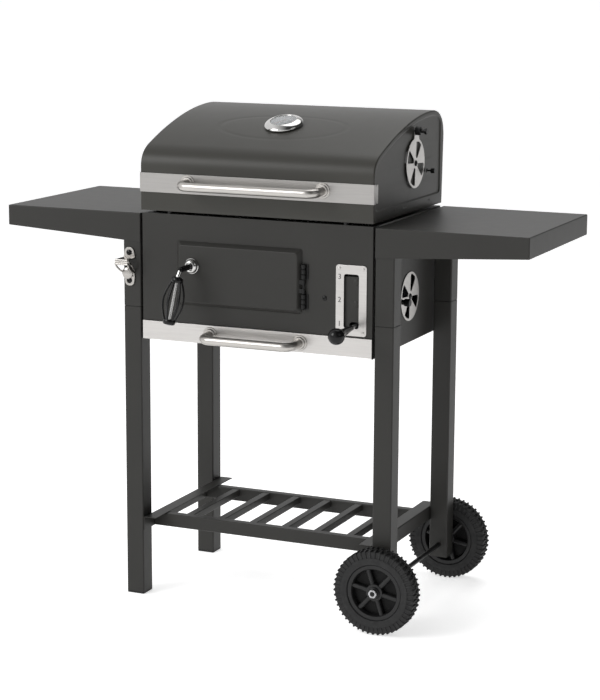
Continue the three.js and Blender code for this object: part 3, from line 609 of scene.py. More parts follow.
# ------------------------------------------------------------------ side tables
class BARBECUE_OT_tables(Operator):
    """Folded sheet side tables with tapered aprons and a stiffening channel"""
    bl_idname = "barbecue.tables"
    bl_label = "Side Tables"
    bl_options = {"REGISTER", "UNDO"}

    def execute(self, context):
        sizes = context.scene.barbecue_sizes
        for side, sign in SIDES:
            self.table(sizes, side, sign)
        return {"FINISHED"}

    def table(self, sizes, side, sign):
        box = Span("side_table_right")
        inner_depth, outer_depth = 60 * MM, 42 * MM
        skin = Shape().use("Anthracite_powder_coat")
        skin.at = mirrored(sign)
        corners = [(box.x0, inner_depth), (box.x1, outer_depth)]
        rings = [skin.ring([(x, y, box.z1 - drop * level)
                            for (x, drop), y in ((corners[0], box.y0), (corners[1], box.y0),
                                                 (corners[1], box.y1), (corners[0], box.y1))])
                 for level in (1, 0)]
        faces = skin.strip(*rings) + skin.sheet([rings[1]])
        skin.outward(faces + skin.sheet([rings[0]]))
        skin.mesh.faces.ensure_lookup_table()
        open_side = [f for f in skin.mesh.faces
                     if f.normal.z < -0.5 or f.normal.x * sign < -0.5]
        bmesh.ops.delete(skin.mesh, geom=open_side, context="FACES_ONLY")
        folds = [e for e in skin.mesh.edges if len(e.link_faces) == 2]
        bmesh.ops.bevel(skin.mesh, geom=folds, offset=sizes.fold, segments=4, profile=0.5,
                        affect="EDGES", clamp_overlap=True)
        for face in skin.mesh.faces:
            face.smooth = True
        skin.piece(f"{side}_side_table_sheet", "cart", "anthracite_paint",
                   [f"side_table_{side}"], wall=sizes.sheet)
        self.channel(sizes, side, sign, box)

    def channel(self, sizes, side, sign, box):
        """Channel welded under the sheet, and the hems folded in along the aprons."""
        wall = sizes.sheet
        stiffener = Shape().use("Anthracite_powder_coat")
        stiffener.at = mirrored(sign)
        middle = (box.y0 + box.y1) / 2
        top = box.z1 - wall - 0.05 * MM
        hat = [(-14, 0), (-14, -wall / MM), (-8, -wall / MM), (-8, -16), (8, -16),
               (8, -wall / MM), (14, -wall / MM), (14, 0), (6.5, 0), (6.5, -14.5),
               (-6.5, -14.5), (-6.5, 0)]
        outline = [Vector((middle + y * MM, top + z * MM)) for y, z in hat]
        past_leg = box.x0 + 46 * MM
        stiffener.plate(outline, past_leg, box.x1 - 4 * MM, "X", ease=0.2 * MM)
        drop, rise, hem = 59 * MM, 17.6 * MM, 12 * MM
        slope = rise / (box.x1 - box.x0)
        shear = Matrix.Identity(4)
        shear[2][0] = slope
        shear[2][3] = box.z1 - drop - slope * box.x0
        stiffener.at = mirrored(sign) @ shear
        for y0, y1 in ((box.y0 + wall, box.y0 + hem), (box.y1 - hem, box.y1 - wall)):
            stiffener.plate(rectangle(past_leg, box.x1 - wall, y0, y1), 0, wall * 0.7)
        stiffener.piece(f"{side}_side_table_stiffener", "cart", "anthracite_paint")


# ------------------------------------------------------------------ bottom shelf
class BARBECUE_OT_shelf(Operator):
    """Angle rails, cross tubes and slats of the bottom shelf"""
    bl_idname = "barbecue.shelf"
    bl_label = "Bottom Shelf"
    bl_options = {"REGISTER", "UNDO"}

    def execute(self, context):
        sizes = context.scene.barbecue_sizes
        for side, sign in SIDES:
            box = Span("shelf_rail_right")
            wall = sizes.sheet
            rail = Shape().use("Anthracite_powder_coat")
            rail.at = mirrored(sign)
            angle = [(box.x1 - wall, box.z0), (box.x1, box.z0), (box.x1, box.z1),
                     (box.x0, box.z1), (box.x0, box.z1 - wall), (box.x1 - wall, box.z1 - wall)]
            outline = rounded(angle, [0, 0, 2.4 * MM, 0.5 * MM, 0, 1.2 * MM], 4)
            rail.plate(outline, box.y0, box.y1, "Y", ease=0.3 * MM)
            rail.piece(f"{side}_shelf_rail_angle", "cart", "anthracite_paint",
                       [f"shelf_rail_{side}"])
        self.grid()
        return {"FINISHED"}

    def grid(self):
        grid = Span("shelf_grid")
        slats = 6
        pitch, width, height, rail = 73.7 * MM, 17 * MM, 15 * MM, 20 * MM
        tube = Shape().use("Anthracite_powder_coat")
        for y0 in (grid.y0, grid.y1 - rail):
            outline = rectangle(y0, y0 + rail, grid.z0, grid.z1, 2.2 * MM)
            tube.plate(outline, grid.x0, grid.x1, "X", ease=0.4 * MM)
        for number in range(slats):
            x = (number - (slats - 1) / 2) * pitch
            top = grid.z1 - 1 * MM
            outline = rectangle(x - width / 2, x + width / 2, top - height, top, 1.6 * MM)
            tube.plate(outline, grid.y0 + rail - 0.5 * MM, grid.y1 - rail + 0.5 * MM, "Y")
        tube.piece("shelf_slat_grid", "cart", "anthracite_paint", ["shelf_grid"])


# ------------------------------------------------------------------ firebox
def vent_outlines(centre, phase):
    """The wedge openings of a vent in (y, z)."""
    half, inner, outer, corner = math.radians(18), 12 * MM, 46 * MM, 3 * MM
    return [sector(centre.y, centre.z, inner, outer, phase + i * math.pi / 2, half, corner)
            for i in range(4)]


VENT_OPEN = math.radians(68)
VENT_CLOSED = VENT_OPEN + math.radians(45)


def vent_centre(side, place):
    """Turning point of a vent, from its joint."""
    joint = next(j for j in frame["joints"] if j["name"] == f"{place}_vent_{side}_turn")
    return Vector(joint["pos_m"])


def pan_head(shape, base, axis, radius=4.5 * MM, height=2.6 * MM, socket=True):
    """Round screw head with a hexagon socket."""
    dome = [(radius * math.cos(a), height * (0.35 + 0.65 * math.sin(a)))
            for a in (math.radians(d) for d in (0, 25, 45, 62))]
    profile = [(0, 0), (radius * 0.96, 0), *dome]
    if socket:
        profile += [(radius * 0.36, height), (radius * 0.32, height * 0.4)]
    shape.turned(profile + [(0, profile[-1][1])], base, axis, 24)


class BARBECUE_OT_firebox(Operator):
    """Firebox panels with the fuel opening, window, vent openings and folded rim"""
    bl_idname = "barbecue.firebox"
    bl_label = "Firebox"
    bl_options = {"REGISTER", "UNDO"}

    def execute(self, context):
        sizes = context.scene.barbecue_sizes
        box = Span("firebox_shell")
        wall = sizes.sheet
        drawer = Span("ash_drawer_front")
        window = Span("gauge_plate")
        door = Span("fuel_door")
        shell = Shape().use("Anthracite_powder_coat")
        mouth = 13 * MM
        fuel = rectangle(door.x0 + mouth, door.x1 - 22 * MM, door.z0 + mouth, door.z1 - mouth,
                         4 * MM)
        slot = rectangle(window.x0 + 15 * MM, window.x1 - 14 * MM, window.z0 + 12.5 * MM,
                         window.z1 - 16 * MM, 6 * MM)
        front = rectangle(box.x0, box.x1, drawer.z1 + 0.8 * MM, box.z1, 0.8 * MM)
        shell.plate(front, box.y0, box.y0 + wall, "Y", holes=[fuel, slot], ease=0.6 * MM)
        shell.plate(rectangle(box.x0, box.x1, box.z0, box.z1, 0.8 * MM), box.y1 - wall,
                    box.y1, "Y", ease=0.6 * MM)
        centre = vent_centre("right", "firebox")
        for _, sign in SIDES:
            shell.at = mirrored(sign)
            panel = rectangle(box.y0 + wall, box.y1 - wall, box.z0, box.z1, 0.5 * MM)
            shell.plate(panel, box.x1 - wall, box.x1, "X",
                        holes=vent_outlines(centre, VENT_OPEN), ease=0.3 * MM)
        shell.at = Matrix.Identity(4)
        rim = 15 * MM
        shell.plate(rectangle(box.x0 + wall, box.x1 - wall, box.y0 + wall, box.y1 - wall),
                    box.z1 - wall, box.z1 - 0.05 * MM,
                    holes=[rectangle(box.x0 + rim, box.x1 - rim, box.y0 + rim, box.y1 - rim,
                                     3 * MM)], ease=0.3 * MM)
        grate = Span("cooking_grate_left", "cooking_grate_right")
        ledge = grate.z0 - 0.3 * MM
        for y0, y1, x1 in ((box.y0 + wall, box.y0 + 26 * MM, window.x0),
                           (box.y1 - 26 * MM, box.y1 - wall, box.x1 - wall)):
            shell.plate(rectangle(box.x0 + wall, x1, y0, y1, 0.8 * MM), ledge - wall, ledge)
        shell.piece("firebox_panels", "cart", "anthracite_paint", ["firebox_shell"])
        self.fittings(box)
        return {"FINISHED"}

    def fittings(self, box):
        """Screw beside the door, stops under the lid and the screws in the back."""
        screws = Shape().use("Black_paint")
        beside_door, screw_height = 152.8 * MM, 669.6 * MM
        pan_head(screws, (beside_door, box.y0, screw_height), (0, -1, 0), 5 * MM)
        for x in (box.x0 + 22 * MM, box.x1 - 22 * MM):
            for z in (box.z0 + 30 * MM, box.z1 - 40 * MM):
                pan_head(screws, (x, box.y1, z), (0, 1, 0))
        screws.piece("firebox_screws", "cart", "black_paint")
        for side, _ in SIDES:
            node = f"lid_stop_{side}"
            stop = Span(node)
            middle = stop.middle
            rubber = Shape().use("Stop_rubber")
            height = stop.z1 - stop.z0
            radius = (stop.x1 - stop.x0) / 2
            profile = [(0, 0), (radius, 0), (radius, height * 0.5), (radius * 0.8, height),
                       (0, height)]
            rubber.turned(profile, (middle.x, middle.y, stop.z0), (0, 0, 1), 20)
            rubber.piece(f"{side}_lid_stop_button", "cart", "stop_rubber", [node])


# ------------------------------------------------------------------ lid
OVAL_X, OVAL_Y = 140 * MM, 62 * MM  # half sizes of the oval pressed round the thermometer


def lid_profile(box):
    """Side outline of the lid in (y, z), as four-point curves with their numbers of steps.

    The curves run from the front's foot over the top to the back's foot, in millimetres
    behind the firebox front and above the ground.
    """
    front, foot = -3, 824

    def at(y, z):
        return Vector((box.y0 + (y - front) * MM, box.z0 + (z - foot) * MM))
    pieces = [
        (at(front, foot), at(front, 853), at(front, 883), at(front, 912), 10),
        (at(front, 912), at(front, 936), at(12, 950), at(36, 959), 14),
        (at(36, 959), at(116, 992), at(220, 1022), at(322, 1022.7), 72),
        (at(322, 1022.7), at(356, 1022.4), at(388.2, 1008), at(387.6, 965), 18),
        (at(387.6, 965), at(386, 918), at(383.8, 871), at(382, foot), 10),
    ]
    points = [pieces[0][0]]
    for a, b, c, d, steps in pieces:
        for k in range(1, steps + 1):
            t = k / steps
            points.append(a * (1 - t) ** 3 + b * 3 * t * (1 - t) ** 2
                          + c * 3 * t * t * (1 - t) + d * t ** 3)
    return points[::-1]  # counter-clockwise: the outside is on the right of the path


class BARBECUE_OT_lid(Operator):
    """Lid skin with rounded ends, pressed recesses, oval groove and vent openings"""
    bl_idname = "barbecue.lid"
    bl_label = "Lid"
    bl_options = {"REGISTER", "UNDO"}

    def execute(self, context):
        sizes = context.scene.barbecue_sizes
        box = Span("lid_shell")
        half = box.x1
        profile = lid_profile(box)
        lid = Shape().use("Lid_powder_coat")
        stations = self.stations(half, sizes.lid_edge)
        case = Span("thermometer_case").middle
        rings = []
        for x in stations:
            rings.append(lid.ring([self.pressed(sizes, case, lift(p, x, "X"))
                                   for p in profile]))
        for sign in (-1, 1):
            edge = []
            for k in range(1, 5):
                turn = k / 4 * math.pi / 2
                inset = sizes.lid_edge * (1 - math.cos(turn))
                x = half - sizes.lid_edge * (1 - math.sin(turn))
                loop = offset(profile, -inset, closed=False)
                edge.append(lid.ring([lift(p, sign * x, "X") for p in loop]))
            rings = edge[::-1] + rings if sign < 0 else rings + edge
        faces = []
        for lower, upper in zip(rings, rings[1:]):
            faces += lid.strip(lower, upper, closed=False)
        for sign, ring in ((-1, rings[0]), (1, rings[-1])):
            faces += self.end(sizes, lid, sign * half, ring, box)
        lid.outward(faces)
        if sum(f.normal.z * f.calc_area() for f in faces) < 0:
            bmesh.ops.reverse_faces(lid.mesh, faces=faces)
        lid.piece("lid_skin", "lid", "lid_paint", ["lid_shell"], wall=sizes.sheet, crease=40)
        self.hem(sizes, box)
        return {"FINISHED"}

    def stations(self, half, edge):
        """Places along X: close together where the oval is pressed."""
        oval, step, count = OVAL_X + 12 * MM, 4 * MM, 76
        middle = [-oval + step * i for i in range(count + 1)]
        coarse = [half - edge - (half - edge - oval) * k / 5 for k in range(5)]
        return [-x for x in coarse] + middle + coarse[::-1]

    def pressed(self, sizes, case, point):
        """Lowers the skin along the oval round the thermometer."""
        u = point.x / OVAL_X
        v = (point.y - case.y + 4 * MM) / OVAL_Y
        away = abs(math.hypot(u, v) - 1) * OVAL_Y
        width, lowest = 5 * MM, 930 * MM
        if point.z < lowest or away > width:
            return point
        return point - Vector((0, 0, sizes.groove * (0.5 + 0.5 * math.cos(math.pi * away / width))))

    def spaced(self, loop, gap=3 * MM):
        """The closed loop with extra points so that none is further apart than gap."""
        result = []
        for i, point in enumerate(loop):
            start = loop[i - 1]
            parts = max(1, math.ceil((point - start).length / gap))
            result += [start.lerp(point, (k + 1) / parts) for k in range(parts)]
        return result

    def end(self, sizes, lid, x, ring, box):
        """End panel: a flat border, a sloping step and a recessed field with the openings."""
        inward = -math.copysign(1, x)
        curve = [Vector((v.co.y, v.co.z)) for v in ring]
        centre = vent_centre("right", "lid")
        field = offset(curve, -6 * MM, closed=False)
        back, low = box.y1 - 19 * MM, box.z0 + 22 * MM
        field = [Vector((min(p.x, back), max(p.y, low))) for p in field]
        closest = 1.5 * MM
        loop = [field[0]]
        for p in field[1:]:
            if (p - loop[-1]).length > closest:
                loop.append(p)
        if (loop[-1] - loop[0]).length < closest:
            loop.pop()
        loop = self.softened(self.spaced(loop))
        outer = lid.ring([lift(p, x, "X") for p in loop])
        slope = [(0.8 * MM, 0.12), (2.6 * MM, 0.9), (3.4 * MM, 1.0)]
        rings = [outer]
        for inset, depth in slope:
            rings.append(lid.ring([lift(p, x + inward * sizes.recess * depth, "X")
                                   for p in offset(loop, -inset)]))
        faces = lid.sheet([ring, outer])
        for lower, upper in zip(rings, rings[1:]):
            faces += lid.strip(lower, upper)
        level = x + inward * sizes.recess
        holes = [lid.ring([lift(p, level, "X") for p in hole])
                 for hole in vent_outlines(centre, VENT_CLOSED)]
        return faces + lid.sheet([rings[-1], *holes])

    def softened(self, loop, rounds=16):
        """Rounds the corners of the recess by averaging neighbours."""
        for _ in range(rounds):
            count = len(loop)
            loop = [(loop[i - 1] + loop[i] * 2 + loop[(i + 1) % count]) / 4
                    for i in range(count)]
        return loop

    def hem(self, sizes, box):
        """Return flange along the lid's lower edge."""
        wall = sizes.sheet
        hem = Shape().use("Lid_powder_coat")
        outer = rectangle(box.x0 + wall, box.x1 - wall, box.y0 + wall, box.y1 - 8 * MM)
        inner = offset(outer, -10 * MM)
        hem.plate(outer, box.z0 + 0.1 * MM, box.z0 + wall, holes=[inner], ease=0.3 * MM)
        hem.piece("lid_hem", "lid", "lid_paint")


# ------------------------------------------------------------------ bands and handles
def handle_with_rosettes(shape, sizes, node, back):
    """Bent tube handle standing on two rosettes on the plane y = back."""
    box = Span(node)
    feet = box.z1 - 16 * MM
    foot_x = box.x1 - 16 * MM
    out = box.y0 + sizes.tube
    drop = feet - 3 * MM
    path = rounded([(-foot_x, back, feet), (-foot_x, out, drop), (foot_x, out, drop),
                    (foot_x, back, feet)], 20 * MM, 9, closed=False)
    shape.use("Polished_tube").bar(path, sizes.tube, 28)
    rosette = [(0, 0), (16, 0), (16, 1.4), (15.2, 2.4), (13.2, 2.6), (12.8, 3.4), (12.6, 4.4),
               (11.4, 5.8), (9.4, 6.2), (0, 6.2)]
    for x in (-foot_x, foot_x):
        shape.turned(scaled(rosette), (x, back, feet), (0, -1, 0), 40)


class BARBECUE_OT_lid_band(Operator):
    """Stainless band across the lid with ears round its ends, and the lid handle"""
    bl_idname = "barbecue.lid_band"
    bl_label = "Lid Band and Handle"
    bl_options = {"REGISTER", "UNDO"}

    def execute(self, context):
        sizes = context.scene.barbecue_sizes
        box = Span("lid_band")
        thick = 1.2 * MM
        # The band takes the stainless tone darkened as painted shade.
        band = Shape().use("Lid_band_steel")
        bend = 2.2 * MM
        ear = box.y0 + 8 * MM
        u_bend = [(box.x0, ear), (box.x0, box.y0), (box.x1, box.y0), (box.x1, ear),
                  (box.x1 - thick, ear), (box.x1 - thick, box.y0 + thick),
                  (box.x0 + thick, box.y0 + thick), (box.x0 + thick, ear)]
        outline = rounded(u_bend, [0, bend, bend, 0, 0, bend - thick, bend - thick, 0], 4)
        band.plate(outline, box.z0, box.z1, ease=0.25 * MM)
        for sign in (-1, 1):
            band.at = mirrored(sign)
            notch = [(ear - 0.5 * MM, box.z0 + 4 * MM), (ear + 3 * MM, box.z0 + 4 * MM),
                     (ear + 3 * MM, box.z0 + 1 * MM), (box.y1, box.z0 + 1 * MM),
                     (box.y1, box.z1 - 1 * MM), (ear + 3 * MM, box.z1 - 1 * MM),
                     (ear + 3 * MM, box.z1 - 4 * MM), (ear - 0.5 * MM, box.z1 - 4 * MM)]
            band.plate([Vector(p) for p in notch], box.x1 - thick, box.x1, "X", ease=0.25 * MM)
        band.piece("lid_front_band", "lid", "stainless_steel", ["lid_band"])
        handle = Shape()
        handle_with_rosettes(handle, sizes, "lid_handle", box.y0)
        handle.piece("lid_bent_handle", "lid", "stainless_steel", ["lid_handle"])
        return {"FINISHED"}


class BARBECUE_OT_drawer(Operator):
    """Ash drawer front with its handle, and the tray on its runners"""
    bl_idname = "barbecue.drawer"
    bl_label = "Ash Drawer"
    bl_options = {"REGISTER", "UNDO"}

    def execute(self, context):
        sizes = context.scene.barbecue_sizes
        box = Span("ash_drawer_front")
        front = Shape().use("Brushed_stainless")
        front.plate(rectangle(box.x0, box.x1, box.z0, box.z1, 1.2 * MM), box.y0, box.y1, "Y",
                    ease=0.5 * MM)
        front.piece("ash_drawer_front_plate", "drawer", "stainless_steel",
                    ["ash_drawer_front"])
        handle = Shape()
        handle_with_rosettes(handle, sizes, "ash_drawer_handle", box.y0)
        handle.piece("ash_drawer_bent_handle", "drawer", "stainless_steel",
                     ["ash_drawer_handle"])
        dress("ash_tray", "Zinc_plate", 0.5 * MM)
        for side, _ in SIDES:
            dress(f"drawer_runner_{side}", "Zinc_plate", 0.4 * MM)
        return {"FINISHED"}


# ------------------------------------------------------------------ thermometer
class BARBECUE_OT_thermometer(Operator):
    """Domed thermometer with its dial, needle, glass and stem"""
    bl_idname = "barbecue.thermometer"
    bl_label = "Thermometer"
    bl_options = {"REGISTER", "UNDO"}

    def execute(self, context):
        lid_slope = 0.33
        tilt = math.atan(lid_slope)
        up = Vector((0, -math.sin(tilt), math.cos(tilt)))
        glass_middle = 10.8 * MM
        base = Span("thermometer_glass").middle - up * glass_middle
        case = Shape().use("Chrome")
        dome = [(0, 1), (38.5, 1), (39.8, 1.4), (40.4, 2.4), (40.5, 3.6), (39.9, 5.2),
                (38.4, 7.2), (36, 9), (33, 10.5), (30.4, 11.5), (28.6, 12.1), (27.4, 12.1),
                (26.7, 11.6), (26.4, 10.9), (26.2, 8.6), (0, 8.6)]
        case.turned(scaled(dome), base, up, 64)
        side = Vector((1, 0, 0))
        down = side.cross(up).normalized()
        outward = side * -0.42 + down * 0.907
        hole = base + up * 4.4 * MM + outward * 39.2 * MM
        # A small black disc set in the dome's side is painted shade standing for a small hole.
        case.use("Black_paint")
        case.turned(scaled([(0, 0), (1.7, 0), (1.7, 1.5), (0, 1.5)]), hole, outward, 16)
        case.piece("thermometer_dome", "lid", "chrome_plate", ["thermometer_case"])
        self.dial(base, up, side, down)
        glass = Shape().use("Dial_glass")
        profile = [(0, 10.2), (26.1, 10.2), (26.2, 10.6), (24, 11.1), (12, 11.6), (0, 11.8)]
        glass.turned(scaled(profile), base, up, 48)
        glass.piece("thermometer_lens", "lid", "dial_glass", ["thermometer_glass"])
        dress("thermometer_stem", "Zinc_plate", 0.3 * MM)
        return {"FINISHED"}

    def dial(self, base, up, side, down):
        dial = Shape().use("Dial_card")
        level = base + up * 8.7 * MM
        dial.turned(scaled([(0, 0), (26, 0), (26, 0.3), (0, 0.3)]), level, up, 48)
        axes = Matrix((side, -down, up)).transposed().to_4x4()
        axes.translation = level
        marks, hot_from, first_turn, sweep, needle_turn = 31, 23, 225, 270, 228
        for number in range(marks):
            long_mark = number % 5 == 0
            turn = math.radians(first_turn - sweep * number / (marks - 1))
            dial.use("Dial_red" if number >= hot_from else "Dial_ink")
            dial.at = axes @ Matrix.Rotation(turn, 4, "Z")
            reach = 17 if long_mark else 20
            wide = 0.55 if long_mark else 0.3
            dial.box((reach * MM, -wide * MM, 0.25 * MM), (23.5 * MM, wide * MM, 0.45 * MM),
                     0.05 * MM, 1)
        dial.use("Dial_red")
        dial.at = axes @ Matrix.Rotation(math.radians(needle_turn), 4, "Z")
        needle = [Vector((-6 * MM, -0.9 * MM)), Vector((21 * MM, -0.25 * MM)),
                  Vector((21 * MM, 0.25 * MM)), Vector((-6 * MM, 0.9 * MM))]
        dial.plate(needle, 0.55 * MM, 0.8 * MM, ease=0.05 * MM, steps=1)
        dial.use("Dial_ink")
        dial.turned(scaled([(0, 0), (2.2, 0), (2.2, 1), (1.2, 1.3), (0, 1.3)]), (0, 0, 0),
                    (0, 0, 1), 20)
        dial.piece("thermometer_dial", "lid", "dial_glass")


# ------------------------------------------------------------------ vents
class BARBECUE_OT_vents(Operator):
    """Turning vent discs with rivets and knobs, and the pins beside the lid's vents"""
    bl_idname = "barbecue.vents"
    bl_label = "Air Vents"
    bl_options = {"REGISTER", "UNDO"}

    def execute(self, context):
        for side, sign in SIDES:
            self.disc(side, sign, "firebox", "left_box_vent" if sign < 0 else "right_box_vent")
            self.disc(side, sign, "lid", "left_lid_vent" if sign < 0 else "right_lid_vent")
            self.pin(side, sign)
        return {"FINISHED"}

    def disc(self, side, sign, place, body):
        node = f"{place}_vent_{side}"
        box = Span(f"{place}_vent_right")
        centre = vent_centre("right", place)
        face, thick, radius = box.x0, 1.5 * MM, centre.z - box.z0
        disc = Shape().use("Stamped_stainless")
        disc.at = mirrored(sign)
        holes = vent_outlines(centre, VENT_OPEN)
        disc.plate(circle(centre.y, centre.z, radius, 96), face, face + thick, "X", holes,
                   ease=0.45 * MM)
        disc.use("Black_paint")
        pan_head(disc, (face + thick, centre.y, centre.z), (1, 0, 0), 6 * MM, 2.6 * MM)
        if place == "lid":
            self.tab(disc, centre, face, thick, radius)
        else:
            knob = [(0, 0), (5, 0), (5, 3), (7.6, 5), (8, 8), (8, 15), (7.2, 17), (0, 17.4)]
            disc.turned(scaled(knob),
                        (face + thick, centre.y - 43 * MM, centre.z - 6 * MM), (1, 0, 0), 28)
        disc.piece(f"{side}_{place}_vent_disc", body, "stainless_steel", [node])

    def tab(self, disc, centre, face, thick, radius):
        """Tab above the disc with its two-stage knob."""
        knob_y, knob_z = centre.y - 1 * MM, centre.z + 66 * MM
        tab = rounded([(centre.y - 10 * MM, centre.z + radius - 6 * MM),
                       (centre.y + 20 * MM, centre.z + radius - 9 * MM),
                       (centre.y + 13 * MM, centre.z + radius + 15 * MM),
                       (centre.y - 8 * MM, centre.z + radius + 15 * MM)],
                      [0, 0, 4 * MM, 4 * MM])
        disc.use("Stamped_stainless").plate(tab, face + 0.1 * MM, face + thick + 0.1 * MM, "X")
        disc.use("Black_plastic")
        knob = [(0, 0), (8.6, 0), (8.8, 1), (8.8, 10), (7.8, 11.4), (4, 12), (4, 18.5),
                (6, 19), (6.6, 20), (6.6, 23.5), (5.8, 24.4), (0, 24.4)]
        disc.turned(scaled(knob), (face + thick, knob_y, knob_z),
                    (1, 0, 0), 28)

    def pin(self, side, sign):
        box = Span("lid_pin_right")
        middle = box.middle
        pin = Shape().use("Black_paint")
        pin.at = mirrored(sign)
        long = (box.x1 - box.x0) / MM
        profile = [(0, 0), (4.4, 0), (4.4, 1.4), (1.8, 2), (1.8, long - 9), (4.6, long - 8.4),
                   (5.2, long - 7), (5.2, long - 1), (4.4, long), (0, long)]
        pin.turned(scaled(profile), (box.x0, middle.y, middle.z),
                   (1, 0, 0), 24)
        pin.piece(f"{side}_lid_rest_pin", "lid", "black_plastic", [f"lid_pin_{side}"])


# ------------------------------------------------------------------ fuel door
HINGE_BARREL = 4.5 * MM  # from the corner of a door hinge's box to the hinge's axis


def pressed_pan(shape, x0, x1, z0, z1, y_base, y_top, bevel, steps=5):
    """Open raised pan pressed from sheet: foot, sloping side and flat field."""
    depth = y_top - y_base
    slope = rounded([(0, 0), (bevel, depth), (bevel + 12 * MM, depth)], [0, 3 * MM, 0], steps,
                    closed=False)
    rings = []
    for inset, level in slope:
        corner = 5 * MM + inset * 0.25
        outline = rectangle(x0 + inset, x1 - inset, z0 + inset, z1 - inset, corner, steps)
        rings.append(shape.ring([lift(p, y_base + level, "Y") for p in outline]))
    faces = []
    for lower, upper in zip(rings, rings[1:]):
        faces += shape.strip(lower, upper)
    shape.outward(faces + shape.sheet([rings[-1]]))
    field = max(shape.mesh.faces, key=lambda f: f.calc_area())
    if field.normal.y > 0:
        bmesh.ops.reverse_faces(shape.mesh, faces=shape.mesh.faces[:])


